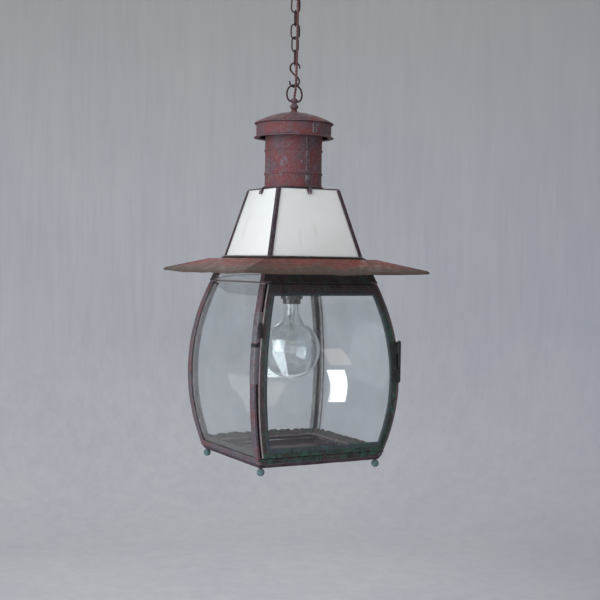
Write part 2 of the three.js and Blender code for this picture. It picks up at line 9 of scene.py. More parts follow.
# %% The frame
import math
import random
import bpy
from mathutils import Matrix, Quaternion, Vector


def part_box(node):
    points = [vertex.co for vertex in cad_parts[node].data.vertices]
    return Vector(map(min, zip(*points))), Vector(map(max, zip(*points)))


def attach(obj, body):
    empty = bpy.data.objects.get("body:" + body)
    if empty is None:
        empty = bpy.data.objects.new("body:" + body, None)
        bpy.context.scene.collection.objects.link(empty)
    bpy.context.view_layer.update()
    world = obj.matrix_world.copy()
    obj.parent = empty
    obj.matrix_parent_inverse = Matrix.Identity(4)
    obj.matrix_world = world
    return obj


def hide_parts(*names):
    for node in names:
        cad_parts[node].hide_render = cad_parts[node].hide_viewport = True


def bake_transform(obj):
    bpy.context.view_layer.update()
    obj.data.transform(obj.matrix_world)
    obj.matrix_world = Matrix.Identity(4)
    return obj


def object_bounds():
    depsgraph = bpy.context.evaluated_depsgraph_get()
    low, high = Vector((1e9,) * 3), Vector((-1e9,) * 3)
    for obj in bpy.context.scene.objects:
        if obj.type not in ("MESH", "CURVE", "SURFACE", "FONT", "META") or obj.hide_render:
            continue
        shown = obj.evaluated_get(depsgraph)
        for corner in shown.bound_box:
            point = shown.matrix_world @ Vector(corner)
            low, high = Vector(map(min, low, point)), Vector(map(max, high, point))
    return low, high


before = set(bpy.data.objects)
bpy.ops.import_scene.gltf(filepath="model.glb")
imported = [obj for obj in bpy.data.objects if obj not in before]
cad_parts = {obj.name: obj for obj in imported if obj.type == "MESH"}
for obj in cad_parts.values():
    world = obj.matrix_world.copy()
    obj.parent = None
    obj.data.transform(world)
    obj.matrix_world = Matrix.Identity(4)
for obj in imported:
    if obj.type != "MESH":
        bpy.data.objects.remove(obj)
cad_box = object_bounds()
MM = 0.001

# %% [markdown]
# ## Where things are
# The lantern's heights are easiest to read from the lower edge of its brim, as its maker would chalk
# them on the bench. The frame says where that edge is, and `up` turns a height in millimetres above it
# into a height in the scene. Each cage face is bowed: `cage_half` gives how far it stands from the
# lantern's axis at a height, on an arc of radius `CAGE_BOW` that is widest at `CAGE_WIDEST`. Sizes
# are in millimetres, and `MM` turns them into metres.

# %% Heights and the bow
BRIM_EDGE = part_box("brim")[0].z
CAGE_BOW = 421.0
CAGE_HALF = 128.8
CAGE_WIDEST = -166.3
CAGE_TOP = -17.0
CAGE_FOOT = -283.3


def up(height):
    return BRIM_EDGE + height * MM


def cage_half(height):
    """Distance of a cage face from the axis, both in millimetres."""
    return CAGE_HALF - CAGE_BOW + math.sqrt(CAGE_BOW ** 2 - (height - CAGE_WIDEST) ** 2)


print("brim edge at", round(BRIM_EDGE, 4), "m")
print("half width of the cage at its head:", round(cage_half(CAGE_TOP), 1), "mm")

# %% [markdown]
# ## Bench habits
# An operator acts on everything that is selected, so each piece starts from an empty selection. `keep`
# ends each piece in the same way: its place is put into its mesh, its faces are turned outwards, it is
# shaded smooth except over sharp edges, it gets its finish, and it rides on the body that carries it.

# %% Selecting and finishing
finishes = {}


def drop_selection():
    if bpy.context.object and bpy.context.object.mode != "OBJECT":
        bpy.ops.object.mode_set(mode="OBJECT")
    bpy.ops.object.select_all(action="DESELECT")


def only(piece):
    drop_selection()
    piece.select_set(True)
    bpy.context.view_layer.objects.active = piece


def settle(piece):
    """Puts the piece's place and turn into its mesh."""
    only(piece)
    bpy.ops.object.transform_apply(location=True, rotation=True, scale=True)


def named(name):
    piece = bpy.context.active_object
    piece.name = name
    piece.data.name = name
    return piece


def edit(piece, kind="VERT"):
    only(piece)
    bpy.ops.object.mode_set(mode="EDIT")
    bpy.ops.mesh.select_mode(type=kind)


def pick(piece, test):
    """Selects, in edit mode, the vertices whose place passes the test."""
    bpy.ops.mesh.select_all(action="DESELECT")
    bpy.ops.object.mode_set(mode="OBJECT")
    place = piece.matrix_world
    for vertex in piece.data.vertices:
        vertex.select = test(place @ vertex.co)
    bpy.ops.object.mode_set(mode="EDIT")
    bpy.ops.mesh.select_mode(type="VERT")


def outward(piece):
    edit(piece)
    bpy.ops.mesh.select_all(action="SELECT")
    bpy.ops.mesh.remove_doubles(threshold=1e-6)
    bpy.ops.mesh.normals_make_consistent(inside=False)
    bpy.ops.object.mode_set(mode="OBJECT")


def modify(piece, kind, **settings):
    """Adds a modifier with these settings and applies it."""
    only(piece)
    modifier = piece.modifiers.new(kind.title(), kind)
    for key, value in settings.items():
        setattr(modifier, key, value)
    bpy.ops.object.modifier_apply(modifier=modifier.name)


def soften(piece, width, segments=2, angle=32):
    """A small round on every edge sharper than the angle."""
    modify(piece, "BEVEL", width=width * MM, segments=segments, limit_method="ANGLE",
           angle_limit=math.radians(angle), harden_normals=False)


def keep(piece, body, slot, *nodes, smooth=38, finish=None):
    settle(piece)
    outward(piece)
    only(piece)
    bpy.ops.object.shade_smooth_by_angle(angle=math.radians(smooth))
    piece.data.materials.clear()
    piece.data.materials.append(finishes[finish or slot])
    if nodes:
        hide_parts(*nodes)
    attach(piece, body)
    size = [round(side / MM, 1) for side in piece.dimensions]
    print(f"{piece.name}: {len(piece.data.polygons)} faces, {size} mm, rides on {body}")
    return piece


def copy_of(piece, name, turn=0.0):
    """A second piece with its own mesh, turned about the lantern's axis."""
    only(piece)
    bpy.ops.object.duplicate(linked=False)
    twin = named(name)
    twin.data.transform(Matrix.Rotation(math.radians(turn), 4, "Z"))
    return twin


# %% [markdown]
# ## Camera, light and stage
# The camera stands a little under two metres away, level with the brim and to the left of the door, with
# a long lens, so the upright edges stay nearly parallel. The stage is one round pale backdrop that curves
# up from the floor all round, so that every side of the lantern is seen against the same plain wall.
# The main light is a large soft panel on the left. A tall narrow panel on the right stands in for a
# window: the bowed door pane mirrors it as a small upright bright patch.

# %% Camera
CAMERA_DISTANCE = 1.902
CAMERA_SIDE = 0.014
CAMERA_HEIGHT = 16.4
CAMERA_LENS = 69.58
CAMERA_TURN = math.radians(27.987)
CAMERA_DOWN = math.radians(1.856)
CAMERA_ROLL = math.radians(0.836)
toward = Vector((math.sin(CAMERA_TURN), math.cos(CAMERA_TURN), 0))
sideways = Vector((math.cos(CAMERA_TURN), -math.sin(CAMERA_TURN), 0))
bpy.ops.object.camera_add()
camera = bpy.context.active_object
camera.name = "camera"
turn = Matrix.Rotation(-CAMERA_TURN, 4, "Z") @ Matrix.Rotation(math.pi / 2 - CAMERA_DOWN, 4, "X")
camera.matrix_world = (
    Matrix.Translation(sideways * CAMERA_SIDE - toward * CAMERA_DISTANCE + Vector((0, 0, up(CAMERA_HEIGHT))))
    @ turn @ Matrix.Rotation(CAMERA_ROLL, 4, "Z")
)
camera.data.sensor_width = 36
camera.data.lens = CAMERA_LENS
bpy.context.scene.camera = camera
print("camera at", [round(value, 3) for value in camera.matrix_world.translation])

# %% Light
bpy.context.scene.view_settings.view_transform = "Standard"


def panel(name, place, size, power, tint, aim=(0, 0, -0.6), lean=0.0):
    """A soft light panel that faces the lantern, leaning that many degrees in its own plane."""
    drop_selection()
    bpy.ops.object.light_add(type="AREA", location=place)
    light = bpy.context.active_object
    light.name = name
    light.data.shape = "RECTANGLE"
    light.data.size, light.data.size_y = size
    light.data.energy = power
    light.data.color = tint
    facing = (Vector(aim) - Vector(place)).to_track_quat("-Z", "Y")
    light.rotation_euler = (facing @ Quaternion((0, 0, 1), math.radians(lean))).to_euler()
    return light


panel("key_panel", (-2.7, -0.7, 0.1), (2.2, 2.4), 84, (0.90, 0.945, 1.0))
panel("front_panel", (-0.7, -2.9, -0.5), (1.6, 1.6), 13, (1.0, 0.985, 0.96))
panel("far_window", (-1.47, 2.6, -1.16), (0.26, 0.50), 0.15, (0.92, 0.96, 1.0))
panel("back_panel", (1.2, 2.4, 0.7), (1.6, 1.2), 16, (0.98, 0.98, 1.0))
window_aim = (0, -0.13, -0.66)
panel("window_pane", (1.24, -2.26, -1.05), (0.075, 0.60), 1.5, (0.92, 0.97, 1.0), aim=window_aim, lean=4)
panel("window_blind", (1.23, -2.26, -0.50), (0.075, 0.34), 0.12, (1.0, 0.90, 0.78), aim=window_aim, lean=4)
world = bpy.data.worlds.new("room")
bpy.context.scene.world = world
world.use_nodes = True
world.node_tree.nodes["Background"].inputs["Color"].default_value = (0.97, 0.985, 1.0, 1)
world.node_tree.nodes["Background"].inputs["Strength"].default_value = 0.58

# %% [markdown]
# ## Small tools for finishes
# An old painted copper finish is many thin effects on top of each other: patches of faded paint, rain
# runs, grain, worn edges, and dirt with painted shade in the corners. Each effect is a node group that
# puts out one mask or one height, built once, so that each material can use it with its own numbers.
# The masks only choose between colours in the material, where the shader itself stays.

# %% Node helpers
def tint(code):
    """A colour for a socket from its six hex digits."""
    parts = [int(code[i:i + 2], 16) / 255 for i in (0, 2, 4)]
    return (*[part / 12.92 if part <= 0.04045 else ((part + 0.055) / 1.055) ** 2.4 for part in parts], 1)


def put(tree, kind, settings=None, **sockets):
    """Adds a node. Sockets are given by name with _ for a space, as a value or as another socket."""
    node = tree.nodes.new(kind)
    for key, value in (settings or {}).items():
        setattr(node, key, value)
    for key, value in sockets.items():
        socket = node.inputs[int(key[1:])] if key[0] == "_" else node.inputs[key.replace("_", " ")]
        if isinstance(value, bpy.types.NodeSocket):
            tree.links.new(value, socket)
        else:
            socket.default_value = value
    return node


def group(name, inputs, output):
    tree = bpy.data.node_groups.new(name, "ShaderNodeTree")
    for title, value in inputs.items():
        socket = tree.interface.new_socket(name=title, in_out="INPUT", socket_type="NodeSocketFloat")
        socket.default_value = value
    tree.interface.new_socket(name=output, in_out="OUTPUT", socket_type="NodeSocketFloat")
    start = tree.nodes.new("NodeGroupInput")
    end = tree.nodes.new("NodeGroupOutput")
    return tree, start.outputs, end


def object_place(tree, stretch=(1, 1, 1), shift=None):
    place = put(tree, "ShaderNodeTexCoord").outputs["Object"]
    mapping = put(tree, "ShaderNodeMapping", Vector=place, Scale=stretch)
    if shift is not None:
        offset = put(tree, "ShaderNodeCombineXYZ", X=shift, Y=shift, Z=shift).outputs[0]
        tree.links.new(offset, mapping.inputs["Location"])
    return mapping.outputs[0]


def ranged(tree, value, low, high, out_low=0.0, out_high=1.0):
    """The value spread from low..high to out_low..out_high."""
    node = put(tree, "ShaderNodeMapRange", {"interpolation_type": "SMOOTHSTEP"}, Value=value)
    for title, number in (("From Min", low), ("From Max", high), ("To Min", out_low), ("To Max", out_high)):
        if isinstance(number, bpy.types.NodeSocket):
            tree.links.new(number, node.inputs[title])
        else:
            node.inputs[title].default_value = number
    return node.outputs[0]


def sums(tree, operation, first, second):
    return put(tree, "ShaderNodeMath", {"operation": operation}, _0=first, _1=second).outputs[0]


# %% The effects
def build_patches():
    """Blotches with soft edges, as where paint has faded or worn through."""
    tree, given, end = group("patches", {"Scale": 40, "Level": 0.5, "Softness": 0.06, "Shift": 0}, "Mask")
    place = object_place(tree, shift=given["Shift"])
    noise = put(tree, "ShaderNodeTexNoise", Vector=place, Scale=given["Scale"], Detail=7.0, Roughness=0.62)
    low = sums(tree, "SUBTRACT", given["Level"], given["Softness"])
    high = sums(tree, "ADD", given["Level"], given["Softness"])
    tree.links.new(ranged(tree, noise.outputs[0], low, high), end.inputs["Mask"])
    return tree


def build_runs():
    """Long upright streaks, as rain and rust leave on standing metal."""
    tree, given, end = group("runs", {"Scale": 60, "Level": 0.55, "Shift": 0}, "Mask")
    place = object_place(tree, stretch=(1, 1, 0.08), shift=given["Shift"])
    noise = put(tree, "ShaderNodeTexNoise", Vector=place, Scale=given["Scale"], Detail=5.0, Roughness=0.6)
    high = sums(tree, "ADD", given["Level"], 0.12)
    tree.links.new(ranged(tree, noise.outputs[0], given["Level"], high), end.inputs["Mask"])
    return tree


def build_grain():
    """The fine pitted height of paint brushed on old sheet."""
    tree, given, end = group("grain", {"Scale": 900, "Pits": 0.5}, "Height")
    place = object_place(tree)
    fine = put(tree, "ShaderNodeTexNoise", Vector=place, Scale=given["Scale"], Detail=4.0, Roughness=0.7)
    coarse_scale = sums(tree, "MULTIPLY", given["Scale"], 0.22)
    pits = put(tree, "ShaderNodeTexVoronoi", {"feature": "F1"}, Vector=place, Scale=coarse_scale)
    pit = sums(tree, "MULTIPLY", ranged(tree, pits.outputs["Distance"], 0.0, 0.35, -1.0, 0.0), given["Pits"])
    tree.links.new(sums(tree, "ADD", fine.outputs[0], pit), end.inputs["Height"])
    return tree


def build_edges():
    """Where the sheet turns sharply: a rounded normal differs there from the real one."""
    tree, given, end = group("worn_edges", {"Width": 0.0016, "Scale": 160, "Amount": 1.0}, "Mask")
    rounded = put(tree, "ShaderNodeBevel", {"samples": 4}, Radius=given["Width"]).outputs[0]
    flat = put(tree, "ShaderNodeNewGeometry").outputs["Normal"]
    turn_away = put(tree, "ShaderNodeVectorMath", {"operation": "DOT_PRODUCT"}, _0=rounded, _1=flat)
    bare = ranged(tree, turn_away.outputs["Value"], 0.99, 0.80)
    noise = put(tree, "ShaderNodeTexNoise", Vector=object_place(tree), Scale=given["Scale"], Detail=6.0)
    broken = ranged(tree, noise.outputs[0], 0.38, 0.56)
    mask = sums(tree, "MULTIPLY", sums(tree, "MULTIPLY", bare, broken), given["Amount"])
    tree.links.new(mask, end.inputs["Mask"])
    return tree


def build_grime_and_shade():
    """Dirt that gathers in corners and under overhangs, and painted shade there: the mask follows ambient
    occlusion.
    """
    tree, given, end = group("grime_and_shade", {"Reach": 0.012, "Amount": 0.8}, "Mask")
    shade = put(tree, "ShaderNodeAmbientOcclusion", {"samples": 6}, Distance=given["Reach"]).outputs["AO"]
    noise = put(tree, "ShaderNodeTexNoise", Vector=object_place(tree), Scale=90.0, Detail=4.0)
    hidden = ranged(tree, shade, 0.85, 0.35)
    mask = sums(tree, "MULTIPLY", hidden, ranged(tree, noise.outputs[0], 0.2, 0.6, 0.6, 1.0))
    tree.links.new(sums(tree, "MULTIPLY", mask, given["Amount"]), end.inputs["Mask"])
    return tree


def build_rim():
    """The outer part of a square plate, with a broken inner outline."""
    tree, given, end = group("outer_rim", {"Near": 0.1, "Far": 0.2}, "Mask")
    place = put(tree, "ShaderNodeSeparateXYZ", Vector=object_place(tree)).outputs
    reach_x = sums(tree, "ABSOLUTE", place["X"], 0.0)
    reach_y = sums(tree, "ABSOLUTE", place["Y"], 0.0)
    reach = sums(tree, "MAXIMUM", reach_x, reach_y)
    noise = put(tree, "ShaderNodeTexNoise", Vector=object_place(tree), Scale=38.0, Detail=6.0, Roughness=0.65)
    uneven = sums(tree, "MULTIPLY", sums(tree, "SUBTRACT", noise.outputs[0], 0.5), 0.07)
    mask = ranged(tree, sums(tree, "ADD", reach, uneven), given["Near"], given["Far"])
    tree.links.new(mask, end.inputs["Mask"])
    return tree


effects = {
    "patches": build_patches(), "runs": build_runs(), "grain": build_grain(),
    "worn_edges": build_edges(), "grime_and_shade": build_grime_and_shade(), "outer_rim": build_rim(),
}
print("effects:", sorted(effects))


# %% Using an effect in a material
def new_finish(slot):
    material = bpy.data.materials.new(slot)
    material.use_nodes = True
    tree = material.node_tree
    shader = tree.nodes["Principled BSDF"]
    finishes[slot] = material
    return tree, shader


def effect(tree, name, **values):
    node = tree.nodes.new("ShaderNodeGroup")
    node.node_tree = effects[name]
    for key, value in values.items():
        node.inputs[key.title()].default_value = value
    return node.outputs[0]


def blend_colour(tree, mask, below, above):
    """The colour below, covered by the colour above where the mask is 1."""
    node = put(tree, "ShaderNodeMix", {"data_type": "RGBA"})
    for title, value in (("Factor", mask), ("A", below), ("B", above)):
        kind = "VALUE" if title == "Factor" else "RGBA"
        socket = next(s for s in node.inputs if s.name == title and s.type == kind)
        if isinstance(value, bpy.types.NodeSocket):
            tree.links.new(value, socket)
        else:
            socket.default_value = value
    return next(s for s in node.outputs if s.type == "RGBA")


def raise_bump(tree, shader, height, distance, strength=1.0):
    bump = put(tree, "ShaderNodeBump", Height=height, Distance=distance * MM, Strength=strength)
    tree.links.new(bump.outputs[0], shader.inputs["Normal"])


# %% [markdown]
# ## Old painted and bare metals
# The red of the lantern is oxide paint on copper that has faded, rubbed through and picked up green
# where rain stands. One function lays the coats in the order they came: a ground colour, a second
# colour in blotches, patches of patina, upright runs, bare worn edges, and dirt in the corners together
# with painted shade there. Each metal of the lantern is then one call with its own colours and amounts.

# %% Painted and patinated metals
def aged_metal(slot, ground, second, patina, bare, dirt_and_shade="17120f", scale=34, second_level=0.5,
               patina_level=0.6, run_level=0.56, edge=0.8, edge_width=0.0014, grime_and_shade=0.75,
               rough=(0.55, 0.85), metallic=0.12, bump=0.18, pits=0.4, grain=1100, specular=0.5,
               rim=None, rim_from=0.0, rim_to=1.0, shift=0.0):
    tree, shader = new_finish(slot)
    blotch = effect(tree, "patches", scale=scale, level=second_level, softness=0.10, shift=shift)
    colour = blend_colour(tree, blotch, tint(ground), tint(second))
    stain = effect(tree, "runs", scale=scale * 2.2, level=run_level, shift=shift + 2)
    colour = blend_colour(tree, sums(tree, "MULTIPLY", stain, 0.55), colour, tint(dirt_and_shade))
    green = effect(tree, "patches", scale=scale * 1.7, level=patina_level, softness=0.05, shift=shift + 5)
    colour = blend_colour(tree, sums(tree, "MULTIPLY", green, 0.8), colour, tint(patina))
    speck = effect(tree, "patches", scale=scale * 11, level=0.63, softness=0.03, shift=shift + 9)
    colour = blend_colour(tree, sums(tree, "MULTIPLY", speck, 0.5), colour, tint(bare))
    if rim:
        far = effect(tree, "outer_rim", near=rim_from, far=rim_to)
        colour = blend_colour(tree, far, colour, tint(rim))
    worn = effect(tree, "worn_edges", width=edge_width, scale=scale * 5, amount=edge)
    colour = blend_colour(tree, worn, colour, tint(bare))
    # Dirt and painted shade: the grime mask follows ambient occlusion into corners and under overhangs.
    dark = effect(tree, "grime_and_shade", reach=0.010, amount=grime_and_shade)
    colour = blend_colour(tree, dark, colour, tint(dirt_and_shade))
    tree.links.new(colour, shader.inputs["Base Color"])
    gloss = effect(tree, "patches", scale=scale * 4, level=0.5, softness=0.2, shift=shift + 1)
    tree.links.new(ranged(tree, gloss, 0.0, 1.0, rough[1], rough[0]), shader.inputs["Roughness"])
    shader.inputs["Metallic"].default_value = metallic
    shader.inputs["Specular IOR Level"].default_value = specular
    brushed = effect(tree, "grain", scale=grain, pits=pits)
    height = sums(tree, "ADD", brushed, sums(tree, "MULTIPLY", green, 0.6))
    raise_bump(tree, shader, height, bump)


aged_metal("red_paint", "7a3d37", "65423e", "56524a", "8a6459", dirt_and_shade="2b2420", patina_level=0.63,
           second_level=0.52, edge=0.6, scale=26, run_level=0.62, metallic=0.05, specular=0.25,
           rim="54473f", rim_from=0.116, rim_to=0.160)
aged_metal("chimney_paint", "6a3b3d", "5a464b", "645a5e", "968885", dirt_and_shade="2a1e20", patina_level=0.61,
           second_level=0.48, edge=0.6, scale=38, run_level=0.66, metallic=0.05, specular=0.25, shift=2.5)
# The seam finish is darker than the chimney paint, as painted shade beside each lap, and its wide pale worn
# edges are partly wear and partly a painted highlight along the lap.
aged_metal("seam_paint_and_shade", "4b3a3d", "57434a", "6d6a6c", "a29894", dirt_and_shade="201a1b", patina_level=0.58,
           edge=1.0, edge_width=0.0022, scale=60, metallic=0.05, specular=0.25, shift=4.5)
aged_metal("brown_paint", "3a2630", "453741", "4e5150", "857a80", dirt_and_shade="1b1517", patina_level=0.63, edge=0.7,
           scale=55, specular=0.3, shift=3.0)
aged_metal("verdigris", "2d3735", "443334", "36584e", "7a857d", dirt_and_shade="161716", patina_level=0.55, edge=1.0,
           scale=48, specular=0.3, shift=7.0)
aged_metal("lead_grey", "57505a", "6a474b", "59625f", "b3a6a4", dirt_and_shade="262125", patina_level=0.60, edge=1.0,
           scale=52, second_level=0.52, bump=0.35, pits=0.8, metallic=0.25, shift=11.0)
aged_metal("solder_skin", "6c6a70", "6b5458", "59605d", "b5aeac", dirt_and_shade="2a262a", patina_level=0.60, edge=1.0,
           scale=90, second_level=0.56, bump=0.6, pits=1.0, metallic=0.3, grain=700, shift=29.0)
# The door's edge finish is pale: partly worn metal, partly a painted highlight, as only the return on the
# side of the main light gets it.
aged_metal("door_edge", "8e8684", "7c666a", "5c645f", "c9c0ba", dirt_and_shade="3a3436", patina_level=0.62, edge=0.8,
           scale=80, metallic=0.2, shift=31.0)
# The bead finish is a lighter blue-grey than the frame: partly its own tone, partly a painted highlight along
# the bead.
aged_metal("door_bead", "3f474e", "383f41", "36504a", "848f96", dirt_and_shade="1c2022", patina_level=0.58, edge=0.8,
           scale=60, metallic=0.2, shift=33.0)
aged_metal("dark_frame", "393333", "45383a", "35463e", "7d7472", dirt_and_shade="141112", patina_level=0.56, edge=1.0,
           scale=46, specular=0.3, shift=13.0)
aged_metal("green_copper", "2a3a34", "3a3532", "35564a", "8f9a92", dirt_and_shade="161a17", patina_level=0.53, edge=1.0,
           scale=52, specular=0.3, shift=39.0)
aged_metal("old_putty", "8b8889", "777478", "6f7478", "b5aea8", dirt_and_shade="3f3c3d", patina_level=0.62, edge=0.3,
           scale=90, bump=0.5, pits=0.8, metallic=0.0, rough=(0.8, 0.95), shift=41.0)
aged_metal("dark_iron", "17171c", "1d191d", "25332e", "3d3939", dirt_and_shade="0b0a0c", patina_level=0.58, edge=0.5,
           scale=110, bump=0.3, pits=0.8, shift=37.0)
aged_metal("rusty_iron", "3b2829", "302226", "593430", "6b5048", dirt_and_shade="151010", patina_level=0.56, edge=0.35,
           scale=120, grain=1500, bump=0.25, pits=0.8, metallic=0.35, shift=17.0)
aged_metal("pale_copper", "4c656b", "44585e", "627a7c", "54483f", dirt_and_shade="2a3232", patina_level=0.5, edge=0.4,
           scale=150, grain=1500, shift=19.0)
aged_metal("brass", "8d7140", "6f5833", "5f6b52", "c0a468", dirt_and_shade="2c2418", patina_level=0.66, edge=0.7,
           scale=90, metallic=0.85, rough=(0.28, 0.5), bump=0.06, pits=0.1, shift=23.0)
print("metals:", sorted(finishes))

# %% [markdown]
# ## Glass, bakelite and cloth
# The clear panes are old sheet: a faint blue-green, with slow waves that bend what is seen through
# them, and a film of dust. The lamp's glass is much thinner. Both let light through to the pieces
# behind by turning clear for shadow rays. The opal panes are white glass, whose milk is a scatter
# under a polished skin. The lampholder is black moulded bakelite, and the flex wears a braid.

# %% Clear glass
def clear_glass(slot, colour, wave, film, roughness=0.0):
    tree, shader = new_finish(slot)
    dust = effect(tree, "patches", scale=9.0, level=0.56, softness=0.16, shift=4.0)
    tree.links.new(blend_colour(tree, sums(tree, "MULTIPLY", dust, film), tint(colour), tint("c9cfd0")),
                   shader.inputs["Base Color"])
    shader.inputs["Roughness"].default_value = roughness
    shader.inputs["IOR"].default_value = 1.5
    shader.inputs["Transmission Weight"].default_value = 1.0
    slow = put(tree, "ShaderNodeTexNoise", Vector=object_place(tree), Scale=7.0, Detail=1.0).outputs[0]
    raise_bump(tree, shader, slow, wave)
    clear = put(tree, "ShaderNodeBsdfTransparent", Color=(0.93, 0.95, 0.95, 1)).outputs[0]
    shadow = put(tree, "ShaderNodeLightPath").outputs["Is Shadow Ray"]
    mixed = put(tree, "ShaderNodeMixShader", Fac=shadow, _1=shader.outputs[0], _2=clear)
    tree.links.new(mixed.outputs[0], tree.nodes["Material Output"].inputs["Surface"])


clear_glass("clear_glass", "f8fbfb", wave=1.2, film=0.2)
clear_glass("lamp_glass", "fafcfc", wave=0.05, film=0.1)

# %% Opal glass
tree, shader = new_finish("opal_glass")
cloud = effect(tree, "patches", scale=12.0, level=0.5, softness=0.25, shift=2.0)
milk = blend_colour(tree, cloud, tint("ebebe8"), tint("e4e5e1"))
dark_streak = effect(tree, "runs", scale=34.0, level=0.60, shift=6.0)
milk = blend_colour(tree, sums(tree, "MULTIPLY", dark_streak, 0.12), milk, tint("a9a594"))
# Painted shade: an ambient-occlusion mask darkens the milk towards brown-grey in the corners of each pane.
corner = effect(tree, "grime_and_shade", reach=0.007, amount=0.6)
tree.links.new(blend_colour(tree, corner, milk, tint("7d7468")), shader.inputs["Base Color"])
shader.inputs["Roughness"].default_value = 0.16
shader.inputs["Subsurface Weight"].default_value = 0.9
shader.inputs["Subsurface Radius"].default_value = (1.0, 1.0, 1.0)
shader.inputs["Subsurface Scale"].default_value = 0.006
shader.inputs["Coat Weight"].default_value = 0.3
wave = put(tree, "ShaderNodeTexNoise", Vector=object_place(tree), Scale=14.0, Detail=1.0).outputs[0]
raise_bump(tree, shader, wave, 0.5)

# %% Bakelite, braid and tungsten
tree, shader = new_finish("bakelite")
swirl = effect(tree, "patches", scale=70.0, level=0.5, softness=0.2, shift=8.0)
tree.links.new(blend_colour(tree, swirl, tint("17161a"), tint("232127")), shader.inputs["Base Color"])
shader.inputs["Roughness"].default_value = 0.32
raise_bump(tree, shader, effect(tree, "grain", scale=700, pits=0.2), 0.03)

# A near-black finish that is painted shadow, for the slit beside the door's free edge.
tree, shader = new_finish("dark_streak")
black_mottle = effect(tree, "patches", scale=120.0, level=0.5, softness=0.2, shift=3.0)
tree.links.new(blend_colour(tree, black_mottle, tint("0a090a"), tint("151213")), shader.inputs["Base Color"])
shader.inputs["Roughness"].default_value = 0.95
shader.inputs["Specular IOR Level"].default_value = 0.1

tree, shader = new_finish("flex_cloth")
faded = effect(tree, "patches", scale=60.0, level=0.5, softness=0.12, shift=1.0)
threads = put(tree, "ShaderNodeTexWave", {"bands_direction": "DIAGONAL"}, Vector=object_place(tree),
              Scale=420.0, Distortion=3.0, Detail=1.0).outputs["Fac"]
braid = blend_colour(tree, faded, tint("6d3a33"), tint("57332f"))
braid = blend_colour(tree, sums(tree, "MULTIPLY", threads, 0.45), braid, tint("35211f"))
tree.links.new(braid, shader.inputs["Base Color"])
shader.inputs["Roughness"].default_value = 0.9
shader.inputs["Sheen Weight"].default_value = 0.25
raise_bump(tree, shader, threads, 0.12)

tree, shader = new_finish("tungsten")
wear = effect(tree, "patches", scale=300.0, level=0.5, softness=0.2, shift=1.5)
tree.links.new(blend_colour(tree, wear, tint("c9c2b4"), tint("9a9488")), shader.inputs["Base Color"])
shader.inputs["Roughness"].default_value = 0.35
shader.inputs["Metallic"].default_value = 0.9
print("finishes:", len(finishes))

# %% [markdown]
# ## Turned pieces
# The cap, the chimney, the finial, the feet and the lamp are all round. They could be spun from a
# drawn outline, but it is as quick to build them as a turner thinks: a circle at one height, extruded
# and scaled to the next radius, again and again. With four corners in place of seventy-two, the same
# tool makes the mitred square pieces: the brim, the curb and the frames of the cage.

# %% The turning tool
def arc(radius, height, across, rise, start, end, count):
    """Points of a round moulding: radius and height of its centre, its two half sizes, from and to angles."""
    angles = [math.radians(start + (end - start) * i / count) for i in range(count + 1)]
    return [(radius + across * math.cos(a), height + rise * math.sin(a)) for a in angles]


def turned(name, profile, around=(0, 0), corners=72, ends="joined", height=up):
    """Extrudes a circle through the profile's (radius, height) pairs, given in millimetres."""
    spread = 1 / math.cos(math.pi / 4) if corners == 4 else 1
    (radius, level), *rest = profile
    centre = (around[0] * MM, around[1] * MM)
    drop_selection()
    bpy.ops.mesh.primitive_circle_add(vertices=corners, radius=radius * spread * MM,
                                      location=(*centre, height(level)), rotation=(0, 0, math.pi / 4))
    piece = named(name)
    bpy.ops.object.mode_set(mode="EDIT")
    bpy.ops.mesh.select_all(action="SELECT")
    for next_radius, next_level in rest:
        rise = (0, 0, height(next_level) - height(level))
        bpy.ops.mesh.extrude_region_move(TRANSFORM_OT_translate={"value": rise})
        share = next_radius / radius
        bpy.ops.transform.resize(value=(share, share, 1), center_override=(*centre, height(next_level)))
        radius, level = next_radius, next_level
    bpy.ops.mesh.select_all(action="DESELECT")
    bpy.ops.mesh.select_mode(type="EDGE")
    bpy.ops.mesh.select_non_manifold()
    if ends == "joined":
        bpy.ops.mesh.bridge_edge_loops()
    elif ends == "filled":
        bpy.ops.mesh.fill_holes(sides=0)
    bpy.ops.object.mode_set(mode="OBJECT")
    return piece


def row(height):
    """Heights above the lantern are counted down from the ceiling face."""
    return height * MM


def dented(piece, depth, size, seed):
    """Slow hollows and bumps of that depth in millimetres, as hand-worked sheet has."""
    clouds = bpy.data.textures.new(piece.name + "_dents", "CLOUDS")
    clouds.noise_scale = size * MM
    clouds.noise_depth = 1
    settle(piece)
    piece.data.transform(Matrix.Translation((seed, seed, seed)))
    modify(piece, "DISPLACE", texture=clouds, strength=depth * MM, mid_level=0.5, texture_coords="LOCAL")
    piece.data.transform(Matrix.Translation((-seed, -seed, -seed)))
    bpy.data.textures.remove(clouds)


def square_cuts(piece, count):
    """Divides the four long sides of every ring of a square piece, so that they can sag and dent."""
    edit(piece, "EDGE")
    bpy.ops.mesh.select_all(action="DESELECT")
    bpy.ops.object.mode_set(mode="OBJECT")
    corners = piece.data.vertices
    for side in piece.data.edges:
        first, second = (piece.matrix_world @ corners[i].co for i in side.vertices)
        level_side = abs(first.z - second.z) < 1e-6
        along_x = abs(first.y - second.y) < 1e-6
        along_y = abs(first.x - second.x) < 1e-6
        side.select = level_side and (along_x or along_y)
    bpy.ops.object.mode_set(mode="EDIT")
    bpy.ops.mesh.subdivide(number_cuts=count)
    bpy.ops.object.mode_set(mode="OBJECT")


# %% [markdown]
# ## The ceiling rose and its hook
# Above the chain, a cup covers the joint of the flex and the ceiling hook comes out of its middle. It is
# out of reach in daily life, so it is plain: a spun cup, a brass ferrule for the flex, and a bent hook.
# Bent wire is made as a curve with a round section, because that keeps the wire even round its bends.

